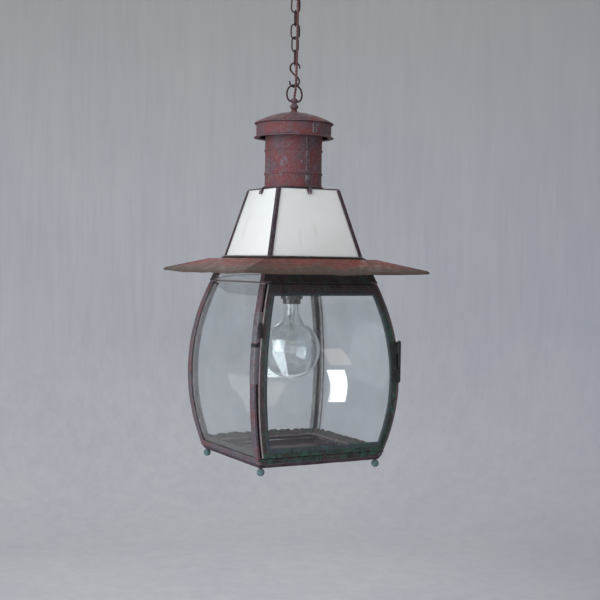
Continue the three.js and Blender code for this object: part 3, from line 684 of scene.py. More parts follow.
# %% Bent wire
def bent_wire(name, points, diameter, thin_ends=1.0, place=(0, 0, 0), turn=0.0, smooth=10):
    """Round wire through points in millimetres, thinned towards its two ends."""
    drop_selection()
    bpy.ops.curve.primitive_bezier_curve_add(location=(0, 0, 0))
    wire = named(name)
    curve = wire.data
    curve.splines.remove(curve.splines[0])
    spline = curve.splines.new("BEZIER")
    spline.bezier_points.add(len(points) - 1)
    last = len(points) - 1
    for i, (knot, point) in enumerate(zip(spline.bezier_points, points)):
        knot.co = Vector(point) * MM
        knot.handle_left_type = knot.handle_right_type = "AUTO"
        from_end = min(i, last - i)
        knot.radius = thin_ends if from_end == 0 else 1 - (1 - thin_ends) * (0.4 if from_end == 1 else 0)
    curve.dimensions = "3D"
    curve.bevel_depth = diameter / 2 * MM
    curve.bevel_resolution = 4
    curve.resolution_u = smooth
    curve.use_fill_caps = True
    bpy.ops.object.convert(target="MESH")
    wire = bpy.context.active_object
    wire.data.name = name
    wire.data.transform(Matrix.Translation(Vector(place) * MM) @ Matrix.Rotation(math.radians(turn), 4, "Z"))
    return wire


# %% Rose, ferrule and hook
FLEX_EXIT = (2.4, -9.6)
rose = turned("rose_cup", [
    (42, -0.6), (42.3, -2), (42, -3.6), (41.6, -8), *arc(22, -8, 19, 15, -10, -80, 6), (14, -24.4),
    (6, -25.8), (3.4, -26), (3.2, -25.2), (13, -23.6), *arc(22, -8, 17.9, 13.9, -80, -10, 6),
    (40.6, -7.6), (41, -1),
], height=row)
dented(rose, 0.5, 30, 3)
keep(rose, "ceiling", "brown_paint", "rose_cover")
ferrule = turned("flex_ferrule", [
    (2.4, -30), (3.6, -30.1), (4.3, -29.6), (4.4, -28.6), (4.1, -27.6), (4.4, -26.8), (4.2, -26.3),
    (3.1, -26.3), (3.1, -22), (2.4, -22),
], around=FLEX_EXIT, corners=40, height=row)
keep(ferrule, "ceiling", "brass", "rose_ferrule")
HOOK_WIRE = 4
HOOK_BEND = 9
HOOK_CENTRE = -56
hook_shank = [(0, 0, -4.3), (0, 0, -12), (0, 0, -24), (0, 0, -35), (0, 0, -41), (-4, 0, -45)]
hook_eye = []
for bearing in (160, 190, 220, 250, 270, 290, 320, 350):
    angle = math.radians(bearing)
    hook_eye.append((HOOK_BEND * math.cos(angle), 0, HOOK_CENTRE + HOOK_BEND * math.sin(angle)))
hook = bent_wire("hook", hook_shank + hook_eye, HOOK_WIRE, thin_ends=0.75)
keep(hook, "ceiling", "rusty_iron", "ceiling_hook")

# %% [markdown]
# ## The chain
# Each link is a bent and butted loop of iron wire. A torus already has the round ends, so its upper
# half is lifted and its lower half lowered, which leaves straight legs between them. The middle ring of
# one leg is pinched where the wire's two ends meet. The link is modelled once, and every copy gets its
# own mesh, its own turn and a slight squeeze, because handmade links are never quite alike. The wire is
# made a hair thin by `LINK_SLACK`, because neighbours come very close at the ends of their swing.

# %% One link
LINK_WIRE = 2.6
LINK_LENGTH = 26.8
LINK_WIDTH = 16.2
LINK_SLACK = 0.06
link_radius = (LINK_WIRE / 2 - LINK_SLACK) * MM
bend = (LINK_WIDTH - LINK_WIRE) / 2 * MM
leg = (LINK_LENGTH - LINK_WIRE) / 2 * MM - bend
drop_selection()
bpy.ops.mesh.primitive_torus_add(major_radius=bend, minor_radius=link_radius, major_segments=40,
                                 minor_segments=12, rotation=(math.pi / 2, 0, 0))
link = named("link")
settle(link)
edit(link)
pick(link, lambda p: p.z > 1e-5)
bpy.ops.transform.translate(value=(0, 0, leg))
pick(link, lambda p: p.z < -1e-5)
bpy.ops.transform.translate(value=(0, 0, -leg))
pick(link, lambda p: abs(p.z) < 1e-5 and p.x > 0)
bpy.ops.mesh.bevel(offset=0.5 * MM, segments=2, affect="EDGES")
pick(link, lambda p: abs(p.z) < 1e-5 and p.x > 0)
bpy.ops.transform.resize(value=(0.72, 0.72, 1), center_override=(bend, 0, 0))
bpy.ops.object.mode_set(mode="OBJECT")

# %% Six links
LINK_TURNS = (57, -28, 52, -28, 12, 57)
chance = random.Random(4)
for number, angle in enumerate(LINK_TURNS, start=1):
    node = f"link_{number}"
    low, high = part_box(node)
    one = copy_of(link, f"chain_{node}")
    squeeze = Matrix.Diagonal((1 + chance.uniform(-0.012, 0.004), 1, 1, 1))
    middle = Matrix.Translation((0, 0, (low.z + high.z) / 2))
    one.data.transform(middle @ Matrix.Rotation(math.radians(angle), 4, "Z") @ squeeze)
    keep(one, node, "rusty_iron", node)
bpy.data.objects.remove(link)

# %% S-hook and ring
S_HALF = 19.65
S_WIRE = 3.0
S_TURN = -53
RING_WIRE = 2.9
RING_PIVOT = 278.5
low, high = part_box("s_hook")
s_middle = (low.z + high.z) / 2 / MM
upper = [(9.2, 9.5), (7.6, 15.2), (0, S_HALF), (-7, 15.8), (-8.2, 10.5), (-4.8, 4.2)]
s_points = upper + [(0, 0)] + [(-x, -z) for x, z in reversed(upper)]
s_hook = bent_wire("s_hook_wire", [(x, 0, z) for x, z in s_points], S_WIRE, thin_ends=0.85,
                   place=(0, 0, s_middle), turn=S_TURN)
keep(s_hook, "s_hook", "rusty_iron", "s_hook")
side = [(3, 0), (6.5, 0), (10.5, 2.2), (13.3, 7.5), (13.7, 13.4), (10.6, 21.4), (5.6, 25.5)]
ring_points = side + [(0, 26.5)] + [(-x, z) for x, z in reversed(side)]
ring = bent_wire("ring_wire", [(x, 0, z) for x, z in ring_points], RING_WIRE,
                 place=(0, 0, up(RING_PIVOT) / MM))
keep(ring, "ring", "rusty_iron", "hanging_ring")

# %% [markdown]
# ## Finial, cap and chimney
# The finial is turned solid with a bore for the flex. Below it, a shallow spun dome covers a drum that
# stands clear of the chimney tube, so that smoke and warm air get out but rain doesn't get in. The drum
# and the tube are rolled sheet: each has an upright lap seam with rivets, and swaged beads stiffen it.
# The sheet gets slow dents, because sheet that has been handled for a century is never truly round.

# %% Finial
finial = turned("finial_turned", [
    (2.9, 283.2), *arc(0, 279.4, 6, 4.6, 60, -50, 9), *arc(0, 270, 6.9, 5, 50, -58, 10), (4.9, 264.6),
    (5.2, 262.4), (6.4, 260.9), (8.6, 260.2), (8.6, 259.6), (4.6, 259.6), (4.6, 251.8), (2.9, 251.8),
], corners=48)
keep(finial, "lantern", "red_paint", "finial", finish="chimney_paint")

# %% Dome and drum
DOME_RADIUS = 65.0
DOME_RISE = 18.2
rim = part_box("cap_lid")[0].z - BRIM_EDGE


def dome_height(radius, lift=0.0):
    return rim / MM + 0.6 + lift + DOME_RISE * (1 - (radius / DOME_RADIUS) ** 2)


dome_radii = (63.6, 61, 57, 52, 46, 39, 31, 23, 15, 9)
dome = turned("cap_dome", [
    (61, 241.2), (64.6, 240.9), (65.1, 241.5), (64.8, 242.2),
    *[(r, dome_height(r, 0.9)) for r in dome_radii], (4.9, 260.1), (4.9, 258.9),
    *[(r, dome_height(r, -0.2)) for r in reversed(dome_radii[:-1])],
], corners=96)
dented(dome, 0.9, 38, 7)
keep(dome, "lantern", "red_paint", "cap_lid", finish="chimney_paint")
drum = turned("cap_drum_sheet", [
    (61.2, 240.6), (61.4, 238.6), (61.0, 237.6), (61.1, 233), (61.2, 228), (61.0, 223.4), (61.6, 221.8),
    (63.4, 220.3), (65.2, 219.4), (65.2, 218.7), (62, 218.9), (56.4, 219.0), (56.4, 219.9), (60.2, 220.2),
    (60.0, 224), (60.1, 232), (60, 240.6),
], corners=96)
dented(drum, 1.1, 34, 12)
keep(drum, "lantern", "red_paint", "cap_drum", finish="chimney_paint")

# %% Chimney tube
tube = turned("chimney_sheet", [
    (46.5, 230), (46.5, 214), (46.5, 199.9), *arc(46.3, 197.5, 1.5, 2.0, 80, -80, 6), (46.5, 194),
    (46.4, 186), (46.5, 174), (46.5, 163.4), *arc(46.3, 160, 1.6, 2.2, 80, -80, 6), (46.5, 156),
    (46.4, 148), (46.5, 141.2), (47.2, 139.4), (49.4, 138.6), (49.9, 137.6), (49.4, 136.6),
    (45.4, 136.4), (45.3, 150), (45.3, 190), (45.3, 230),
], corners=96)
dented(tube, 1.1, 30, 18)
keep(tube, "lantern", "red_paint", "chimney_tube", finish="chimney_paint")


# %% A curled strip of sheet
def strip(name, radius, width, thick, low, high, bearing, bulge=0.0, cuts=10):
    """An upright strip of sheet that lies on a round wall, at a compass bearing from the door side."""
    drop_selection()
    centre = (0, -(radius + thick / 2) * MM, (up(low) + up(high)) / 2)
    sides = (width * MM, thick * MM, (high - low) * MM)
    bpy.ops.mesh.primitive_cube_add(size=1, location=centre, scale=sides)
    piece = named(name)
    settle(piece)
    edit(piece, "EDGE")
    bpy.ops.mesh.select_all(action="SELECT")
    bpy.ops.mesh.subdivide(number_cuts=cuts)
    bpy.ops.object.mode_set(mode="OBJECT")
    for vertex in piece.data.vertices:
        angle = vertex.co.x / (radius * MM)
        out = -vertex.co.y + bulge * MM * math.cos(math.pi * vertex.co.x / (width * MM))
        vertex.co = Vector((out * math.sin(angle), -out * math.cos(angle), vertex.co.z))
    piece.data.transform(Matrix.Rotation(math.radians(bearing), 4, "Z"))
    return piece


def rivet(name, place, outward_way, radius=1.6, rise=1.0):
    """A low domed rivet head that stands on a wall."""
    drop_selection()
    bpy.ops.mesh.primitive_uv_sphere_add(segments=20, ring_count=12, radius=radius * MM)
    piece = named(name)
    edit(piece)
    bpy.ops.mesh.select_all(action="SELECT")
    bpy.ops.mesh.bisect(plane_co=(0, 0, 0), plane_no=(0, 0, 1), clear_inner=True, use_fill=True)
    bpy.ops.mesh.select_all(action="SELECT")
    bpy.ops.transform.resize(value=(1, 1, rise / radius), center_override=(0, 0, 0))
    bpy.ops.object.mode_set(mode="OBJECT")
    aim = Vector(outward_way).to_track_quat("Z", "Y").to_matrix().to_4x4()
    piece.data.transform(Matrix.Translation(Vector(place)) @ aim)
    return piece


# %% Lap seams and their rivets
SEAMS = (
    ("tube_seam_upper", 1.5, 46.1, 6.5, 200.2, 229.5), ("tube_seam_middle", 1.5, 46.1, 6.5, 162.6, 195.0),
    ("tube_seam_lower", 1.5, 46.1, 6.5, 141.4, 157.4), ("drum_seam", 5.0, 60.9, 7.0, 222.6, 240.2),
)
SHEET_RIVETS = ((61.7, 8.6, 235.5), (61.7, 8.4, 226.5), (46.9, -10, 178))
for name, bearing, radius, width, low, high in SEAMS:
    seam = strip(name, radius, width, 1.0, low, high, bearing, bulge=0.5)
    soften(seam, 0.25)
    # The seam finish carries painted shade beside the lap and a painted highlight on its edges.
    keep(seam, "lantern", "red_paint", finish="seam_paint_and_shade")
for number, (radius, bearing, height) in enumerate(SHEET_RIVETS, start=1):
    angle = math.radians(bearing)
    way = Vector((math.sin(angle), -math.cos(angle), 0))
    head = rivet(f"sheet_rivet_{number}", way * radius * MM + Vector((0, 0, up(height))), way)
    keep(head, "lantern", "lead_grey", finish="solder_skin")

# %% [markdown]
# ## The opal roof
# Four panes of white glass lean together into a cut-off pyramid. Folded copper hips cover their edges,
# a curb carries them, and a thin plate under the chimney holds their heads, with one small tongue
# folded down over each pane. A pane starts as a slab from its foot to its head, whose head is then
# leaned in and narrowed.

# %% Panes and hips
ROOF_FOOT_HALF = 82.5
ROOF_TOP_HALF = 55.0
ROOF_FOOT = 26.2
ROOF_TOP = 134.0
FACES = (("front", 0), ("right", 90), ("back", 180), ("left", 270))


def joined(first, *others):
    only(first)
    for other in others:
        other.select_set(True)
    bpy.ops.object.join()
    return first


def slab(name, low, high):
    """A box between two corners in millimetres, with heights from the brim's edge, left in edit mode."""
    drop_selection()
    middle = [(a + b) / 2 for a, b in zip(low, high)]
    bpy.ops.mesh.primitive_cube_add(size=1, location=(middle[0] * MM, middle[1] * MM, up(middle[2])),
                                    scale=[(b - a) * MM for a, b in zip(low, high)])
    piece = named(name)
    settle(piece)
    edit(piece)
    return piece


PANE_MARGIN = 3.6
PANE_THICK = 3
HIP_WIDTH = 4.6
HIP_PROUD = 1.5
ROOF_MIDDLE = 80
lean = ROOF_FOOT_HALF - ROOF_TOP_HALF
reach = ROOF_FOOT_HALF - PANE_MARGIN
pane_head = ROOF_TOP - 0.4
pane = slab("opal_front", (-reach, -ROOF_FOOT_HALF, ROOF_FOOT),
            (reach, PANE_THICK - ROOF_FOOT_HALF, pane_head))
pick(pane, lambda p: p.z > up(ROOF_MIDDLE))
bpy.ops.transform.translate(value=(0, lean * MM, 0))
narrow = (ROOF_TOP_HALF - PANE_MARGIN) / reach
bpy.ops.transform.resize(value=(narrow, 1, 1), center_override=(0, 0, 0))
soften(pane, 0.5, 3)
hip = slab("hip_front", (ROOF_FOOT_HALF - HIP_WIDTH, -ROOF_FOOT_HALF - HIP_PROUD, ROOF_FOOT),
           (ROOF_FOOT_HALF + HIP_PROUD, -ROOF_FOOT_HALF - 0.4, pane_head))
bpy.ops.object.mode_set(mode="OBJECT")
fold = slab("hip_fold", (ROOF_FOOT_HALF + 0.4, -ROOF_FOOT_HALF - 0.45, ROOF_FOOT),
            (ROOF_FOOT_HALF + HIP_PROUD, HIP_WIDTH - ROOF_FOOT_HALF, pane_head))
bpy.ops.object.mode_set(mode="OBJECT")
for leaf in (hip, fold):
    edit(leaf)
    pick(leaf, lambda p: p.z > up(ROOF_MIDDLE))
    bpy.ops.transform.translate(value=(-lean * MM, lean * MM, 0))
    soften(leaf, 0.45, 3)
foot_tab = slab("hip_tab", (ROOF_FOOT_HALF - 1.5, -ROOF_FOOT_HALF - 5.5, 22.4),
                (ROOF_FOOT_HALF + 5.5, -ROOF_FOOT_HALF + 1.5, 24.2))
soften(foot_tab, 0.6, 3)
hip = joined(hip, fold, foot_tab)
for face, angle in FACES:
    keep(copy_of(pane, f"opal_{face}_glass", angle), "lantern", "opal_glass", f"opal_pane_{face}")
    keep(copy_of(hip, f"hip_{face}_bar", angle), "lantern", "brown_paint", f"hip_bar_{face}")
bpy.data.objects.remove(pane)
bpy.data.objects.remove(hip)

# %% Curb, head plate and tongues
curb = turned("roof_curb_ring", [
    (79, 22.2), (85.2, 22.2), (85.6, 23), (85.4, 25.2), (84.6, 25.9), (79, 25.9),
], corners=4)
soften(curb, 0.4)
keep(curb, "lantern", "dark_frame", "roof_curb")
drop_selection()
PLATE_FOOT = 134.3
PLATE_HALF = 55.6
PLATE_THICK = 1.1
bpy.ops.mesh.primitive_circle_add(vertices=4, radius=PLATE_HALF * math.sqrt(2) * MM,
                                  location=(0, 0, up(PLATE_FOOT)), rotation=(0, 0, math.pi / 4))
plate = named("chimney_head_plate")
edit(plate, "EDGE")
bpy.ops.mesh.select_all(action="SELECT")
bpy.ops.mesh.subdivide(number_cuts=17)
settle(plate)
edit(plate, "EDGE")
bpy.ops.mesh.primitive_circle_add(vertices=72, radius=44.5 * MM, location=(0, 0, up(PLATE_FOOT)))
bpy.ops.mesh.select_all(action="SELECT")
bpy.ops.mesh.bridge_edge_loops()
bpy.ops.mesh.select_all(action="SELECT")
bpy.ops.mesh.extrude_region_move(TRANSFORM_OT_translate={"value": (0, 0, PLATE_THICK * MM)})
bpy.ops.object.mode_set(mode="OBJECT")
soften(plate, 0.2)
keep(plate, "lantern", "brown_paint", "chimney_plate")
for face, angle in FACES:
    tongue = slab(f"pane_tongue_{face}", (-3.2, -57.5, 134.9), (3.2, -46, 136.1))
    bpy.ops.mesh.select_mode(type="FACE")
    bpy.ops.object.mode_set(mode="OBJECT")
    for polygon in tongue.data.polygons:
        polygon.select = polygon.normal.y < -0.9
    bpy.ops.object.mode_set(mode="EDIT")
    for out, down in ((1.4, 1.6), (0.9, 4.2), (1.5, 3.2)):
        bpy.ops.mesh.extrude_region_move(TRANSFORM_OT_translate={"value": (0, -out * MM, -down * MM)})
    bpy.ops.transform.resize(value=(0.7, 1, 1), center_override=(0, 0, 0))
    soften(tongue, 0.35)
    tongue.data.transform(Matrix.Rotation(math.radians(angle), 4, "Z"))
    keep(tongue, "lantern", "lead_grey")

# %% [markdown]
# ## The brim
# The brim is four sloping sheets, mitred at the corners, with a rolled edge for stiffness and a flat deck
# inside the roof's curb. Four corners and one profile make it. Its long sides are then cut across, so that
# they can sag between the corners and take the dents of a sheet that has been leaned on.

# %% Brim
BRIM_HALF = 161.6
brim = turned("brim_sheet", [
    (159.8, 0.2), (161.2, 0.8), (161.6, 2.2), (161.1, 3.8), (159.6, 5.0), (140, 10.7), (120, 16.5),
    (102.6, 21.5), (100.8, 22.0), (90, 22.0), (78, 22.0), (78, 20.8), (100.4, 20.7), (120, 15.3),
    (158.2, 4.1), (159.6, 2.6), (158.6, 1.0),
], corners=4)
square_cuts(brim, 31)
settle(brim)


def sag(piece, inner, outer, deepest, waves):
    """Lets the outer edge of a square sheet hang between its corners, most in the middle of a side."""
    for vertex in piece.data.vertices:
        spot = vertex.co
        face = max(abs(spot.x), abs(spot.y))
        along = (spot.x if abs(spot.y) >= abs(spot.x) else spot.y) / face
        share = max(0.0, (face / MM - inner) / (outer - inner))
        middle = 1 - along * along
        ripple = waves * math.sin(7.3 * along + 2.1 * (spot.x > 0) + 3.7 * (spot.y > 0)) * middle
        spot.z -= share * (deepest * middle + ripple) * MM


sag(brim, 100, BRIM_HALF, 2.6, 0.8)
dented(brim, 1.2, 45, 21)
keep(brim, "lantern", "red_paint", "brim", smooth=28)

# %% Corner laps of the brim
DIAGONAL = 1.414
BRIM_SLOPE = 0.285
for number, angle in enumerate((0, 90, 180, 270), start=1):
    lap = slab(f"brim_lap_{number}", (-6, -BRIM_HALF * DIAGONAL + 4, 1.5), (6, -143.5, 3.0))
    bpy.ops.mesh.select_all(action="SELECT")
    bpy.ops.mesh.subdivide(number_cuts=4)
    bpy.ops.object.mode_set(mode="OBJECT")
    for vertex in lap.data.vertices:
        distance = -vertex.co.y / MM / DIAGONAL
        vertex.co.z += (BRIM_HALF - distance) * BRIM_SLOPE * MM + 2.1 * MM - abs(vertex.co.x) * 0.30
    soften(lap, 0.3)
    lap.data.transform(Matrix.Rotation(math.radians(angle + 45), 4, "Z"))
    keep(lap, "lantern", "red_paint")

# %% [markdown]
# ## The bowed cage
# Four corner posts of angle copper and four bowed panes stand between a head frame and a base frame. The
# Bend tool needs a window, so each upright piece is modelled flat against the widest level of the cage,
# cut across at even heights, and then every cut is pushed in by as much as the bow falls back there.
# Near the corners a piece moves sideways whole, so that the posts keep their width. The head frame is
# dark metal over the door. On the other sides the panes run on up to the brim between the posts, so
# there the band's middle takes the finish of glass and its ends take the finish of the posts. A stop
# strip behind the head closes the slit over the door.

# %% The bow tool
BOW_CUTS = 30


def cut_across(piece, count=BOW_CUTS):
    edit(piece, "EDGE")
    for i in range(1, count):
        height = CAGE_FOOT + (CAGE_TOP - CAGE_FOOT) * i / count
        bpy.ops.mesh.select_all(action="SELECT")
        bpy.ops.mesh.bisect(plane_co=(0, 0, up(height)), plane_no=(0, 0, 1))
    bpy.ops.object.mode_set(mode="OBJECT")


def bowed(piece, stiff_from=104.0):
    """Pushes a piece of the door side in along the cage's bow."""
    for vertex in piece.data.vertices:
        height = (vertex.co.z - BRIM_EDGE) / MM
        fall = cage_half(height) - CAGE_HALF
        share = max(-1.0, min(1.0, vertex.co.x / MM / stiff_from))
        vertex.co.x += share * fall * MM
        vertex.co.y -= fall * MM


# %% Head frame
head_half = cage_half(CAGE_TOP)
head = turned("head_frame_band", [
    (head_half, -16.6), (head_half + 0.6, -15.4), (head_half + 0.5, -13.6), (head_half - 0.6, -12.6),
    (head_half - 3.6, -4), (head_half - 4.6, -0.5), (head_half - 5.2, 4), (head_half - 5.4, 20.3), (80, 20.3),
    (80, 19.2), (head_half - 7, 19.2), (head_half - 6.7, -1), (head_half - 2, -16.6),
], corners=4)
square_cuts(head, 15)
dented(head, 0.6, 40, 27)
soften(head, 0.3)
keep(head, "lantern", "dark_frame", "head_frame")
HEAD_DECK = 18
POST_END = 15
POST_END_BY_DOOR = 8
head.data.materials.append(finishes["clear_glass"])
head.data.materials.append(finishes["lead_grey"])
for polygon in head.data.polygons:
    spot = polygon.center / MM
    front = spot.y < -abs(spot.x)
    along_side = abs(spot.x) if front or spot.y > abs(spot.x) else abs(spot.y)
    if (polygon.center.z - BRIM_EDGE) / MM > HEAD_DECK:
        continue
    if along_side > head_half - (POST_END_BY_DOOR if front else POST_END):
        polygon.material_index = 2
    elif not front:
        polygon.material_index = 1
stop_half = head_half - 6.1
stop = slab("head_stop", (-stop_half, 4.9 - head_half, -21.3), (stop_half, -stop_half, -12))
soften(stop, 0.3)
keep(stop, "lantern", "dark_frame")

# %% Posts and panes
POST_LEG = 14.0
POST_THICK = 1.6
GLASS = 2.4
PANE_EDGE = CAGE_HALF - 4.4
pane_front = -CAGE_HALF + POST_THICK + 0.4
post = slab("post", (CAGE_HALF - POST_LEG, -CAGE_HALF, CAGE_FOOT),
            (CAGE_HALF, -CAGE_HALF + POST_THICK, CAGE_TOP))
edit(post, "EDGE")
bpy.ops.mesh.select_all(action="SELECT")
bpy.ops.mesh.bisect(plane_co=((CAGE_HALF - POST_THICK) * MM, 0, 0), plane_no=(1, 0, 0))
bpy.ops.mesh.select_all(action="DESELECT")
bpy.ops.mesh.select_mode(type="FACE")
bpy.ops.object.mode_set(mode="OBJECT")
for polygon in post.data.polygons:
    polygon.select = polygon.normal.y > 0.9 and polygon.center.x > (CAGE_HALF - POST_THICK) * MM
bpy.ops.object.mode_set(mode="EDIT")
bpy.ops.mesh.extrude_region_move(TRANSFORM_OT_translate={"value": (0, (POST_LEG - POST_THICK) * MM, 0)})
bpy.ops.object.mode_set(mode="OBJECT")
cut_across(post)
bowed(post)
soften(post, 0.4, 2, 50)
sheet = slab("sheet", (-PANE_EDGE, pane_front, CAGE_FOOT), (PANE_EDGE, pane_front + GLASS, CAGE_TOP))
bpy.ops.object.mode_set(mode="OBJECT")
cut_across(sheet)
bowed(sheet)
for face, angle in FACES:
    one = copy_of(post, f"post_{face}", angle)
    dented(one, 0.9, 9, 31 + angle / 10)
    keep(one, "lantern", "lead_grey", f"corner_post_{face}")
    if face != "front":
        keep(copy_of(sheet, f"sheet_{face}", angle), "lantern", "clear_glass", f"pane_{face}")
fillets = []
for side in (-1, 1):
    near, far = sorted((side * (CAGE_HALF - 18), side * (CAGE_HALF - 12)))
    fillet = slab("fillet", (near, -CAGE_HALF + 4.5, CAGE_FOOT + 3), (far, -CAGE_HALF + 6.4, CAGE_TOP - 3))
    bpy.ops.object.mode_set(mode="OBJECT")
    cut_across(fillet)
    bowed(fillet)
    fillets.append(fillet)
fillet = joined(*fillets)
for face, angle in FACES[1:]:
    line = copy_of(fillet, f"putty_upright_{face}", angle)
    dented(line, 1.4, 4, 71 + angle / 30)
    keep(line, "lantern", "lead_grey", finish="old_putty")
bpy.data.objects.remove(fillet)
bpy.data.objects.remove(post)
bpy.data.objects.remove(sheet)

# %% [markdown]
# ## The base
# A rim frame carries the panes, a shallow tray closes the floor, and four cast balls serve as feet. Inside,
# a bead of old putty runs along the foot of each fixed pane with a ragged edge, which shows through the
# glass as a dark uneven line. The bead is a ring like the others, whose inner edge is moved at random.

# %% Rim, putty and tray
foot_half = cage_half(CAGE_FOOT)
rim_frame = turned("base_rim", [
    (foot_half - 18, -283.6), (foot_half - 0.8, -283.6), (foot_half, -284.4), (foot_half - 0.4, -286.6),
    (foot_half - 1.8, -287.4), (foot_half - 1.4, -289.4), (foot_half - 2.6, -292.4),
    (foot_half - 4.0, -292.5), (foot_half - 3.0, -286.0), (foot_half - 18, -285.2),
], corners=4)
square_cuts(rim_frame, 23)
dented(rim_frame, 1.0, 26, 41)
soften(rim_frame, 0.3)
keep(rim_frame, "lantern", "verdigris", "base_frame")
rim_frame.data.materials.append(finishes["lead_grey"])
for polygon in rim_frame.data.polygons:
    polygon.material_index = 0 if polygon.center.y < -abs(polygon.center.x) else 1
putty = turned("putty_bead", [
    (foot_half - 5.2, -283.2), (foot_half - 5.0, -276.5), (foot_half - 6.8, -275.5),
    (foot_half - 9.5, -278.5), (foot_half - 14, -281.2), (foot_half - 16, -283.2),
], corners=4)
square_cuts(putty, 47)
chance = random.Random(9)
heights = {}
for vertex in putty.data.vertices:
    spot = putty.matrix_world @ vertex.co
    if spot.z > up(-283):
        key = (round(spot.x, 4), round(spot.y, 4))
        heights.setdefault(key, chance.uniform(-1.6, 2.4))
        vertex.co.z += heights[key] * MM
dented(putty, 2.0, 8, 43)
keep(putty, "lantern", "dark_frame")
tray_rim = foot_half - 2.9
tray = turned("base_tray_pan", [
    (40, -299.0), (tray_rim - 5, -299.0), (tray_rim - 3.6, -298.6), (tray_rim - 0.4, -293.6),
    (tray_rim, -292.8), (tray_rim - 1.6, -292.8), (tray_rim - 4.8, -297.6), (40, -297.8),
], corners=4, ends="filled")
square_cuts(tray, 15)
dented(tray, 0.8, 40, 47)
keep(tray, "lantern", "brown_paint", "base_tray")
for number in range(1, 5):
    low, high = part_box(f"ball_foot_{number}")
    middle = (low + high) / 2
    top = (high.z - BRIM_EDGE) / MM
    ball = turned(f"ball_foot_{number}_cast", [
        (2.6, top), (2.5, top - 0.9), *arc(0, top - 6, 6, 6, 62, -84, 12),
    ], around=(middle.x / MM, middle.y / MM), corners=36, ends="filled")
    dented(ball, 0.5, 5, number)
    keep(ball, "lantern", "pale_copper", f"ball_foot_{number}")

# %% [markdown]
# ## The door
# The door is one bowed frame of folded sheet that stands proud of the cage. Insets from a flat panel give
# the flat margin, the raised bead that frames the glass and the step down to the rebate, and the outer
# edge is folded back to the cage. Wall thickness comes last, and then the bow.

# %% Door frame
DOOR_PROUD = 5.2
DOOR_INSET = 7.0
DOOR_TOP = CAGE_TOP - 0.5
DOOR_FOOT = CAGE_FOOT + 1.5
door_half = CAGE_HALF - DOOR_INSET
front = -(CAGE_HALF + DOOR_PROUD)
drop_selection()
door_middle = (0, front * MM, (up(DOOR_TOP) + up(DOOR_FOOT)) / 2)
bpy.ops.mesh.primitive_plane_add(size=1, location=door_middle, rotation=(math.pi / 2, 0, 0))
frame_sheet = named("door_frame_sheet")
settle(frame_sheet)
edit(frame_sheet, "FACE")
bpy.ops.mesh.select_all(action="SELECT")
door_sides = (2 * door_half * MM, 1, (DOOR_TOP - DOOR_FOOT) * MM)
bpy.ops.transform.resize(value=door_sides, center_override=door_middle)
bpy.ops.mesh.inset(thickness=8.0 * MM)
bpy.ops.object.mode_set(mode="OBJECT")
window = next(p for p in frame_sheet.data.polygons if p.select)
for index in window.vertices:
    spot = frame_sheet.data.vertices[index].co
    spot.z += (-4.0 if spot.z > up(-150) else 1.0) * MM
edit(frame_sheet, "FACE")
for step, rise in ((1.2, 0.4), (2.0, 0.1), (1.4, -0.4), (1.2, -1.8)):
    bpy.ops.mesh.inset(thickness=step * MM, depth=rise * MM)
bpy.ops.mesh.delete(type="FACE")
bpy.ops.mesh.select_mode(type="EDGE")
bpy.ops.mesh.select_all(action="DESELECT")
bpy.ops.object.mode_set(mode="OBJECT")
spots = frame_sheet.data.vertices
for line in frame_sheet.data.edges:
    first, second = (spots[i].co for i in line.vertices)
    at_side = all(abs(abs(s.x) - door_half * MM) < 1e-6 for s in (first, second))
    at_end = any(all(abs(s.z - up(z)) < 1e-6 for s in (first, second)) for z in (DOOR_TOP, DOOR_FOOT))
    line.select = at_side or at_end
bpy.ops.object.mode_set(mode="EDIT")
bpy.ops.mesh.extrude_region_move(TRANSFORM_OT_translate={"value": (0, (DOOR_PROUD - 0.5) * MM, 0)})
bpy.ops.object.mode_set(mode="OBJECT")
outward(frame_sheet)
facing = sum(p.normal.y * p.area for p in frame_sheet.data.polygons)
if facing > 0:
    frame_sheet.data.flip_normals()
modify(frame_sheet, "SOLIDIFY", thickness=1.0 * MM, offset=-1.0)
cut_across(frame_sheet)
bowed(frame_sheet)
soften(frame_sheet, 0.35, 2, 40)
dented(frame_sheet, 0.5, 30, 53)
keep(frame_sheet, "door", "dark_frame", "door_frame")

# %% Bead, worn and painted-lit edge, green parts of the door, and painted shadow in the slit
BEAD_FROM = 8.4
RETURN_EDGE = 0.9
FOOT_MARGIN = 8
HEAD_MARGIN = 13
GREEN_BELOW = -60
for finish in ("door_bead", "door_edge", "green_copper"):
    frame_sheet.data.materials.append(finishes[finish])
for polygon in frame_sheet.data.polygons:
    spot = polygon.center
    height = (spot.z - BRIM_EDGE) / MM
    inside = cage_half(height) - DOOR_INSET - abs(spot.x) / MM
    # The bead's blue-grey is partly a painted highlight, and the pale left return is partly wear and partly a
    # painted highlight from the main light on the left.
    if inside > BEAD_FROM and DOOR_FOOT + FOOT_MARGIN < height < DOOR_TOP - HEAD_MARGIN:
        polygon.material_index = 1
    elif spot.x < 0 and inside < RETURN_EDGE:
        polygon.material_index = 2
    elif (spot.x > 0 and inside > RETURN_EDGE and height < GREEN_BELOW) or height < DOOR_FOOT + FOOT_MARGIN:
        polygon.material_index = 3
# Painted shadow: a thin near-black strip on the post along the door's free edge darkens the slit between the
# door's return and the post.
gap_half = CAGE_HALF - DOOR_INSET + 0.4
gap = slab("door_gap_shadow", (-gap_half - 2.2, -CAGE_HALF - 0.35, DOOR_FOOT),
           (-gap_half, -CAGE_HALF - 0.05, DOOR_TOP))
bpy.ops.object.mode_set(mode="OBJECT")
cut_across(gap)
bowed(gap)
keep(gap, "lantern", "dark_frame", finish="dark_streak")

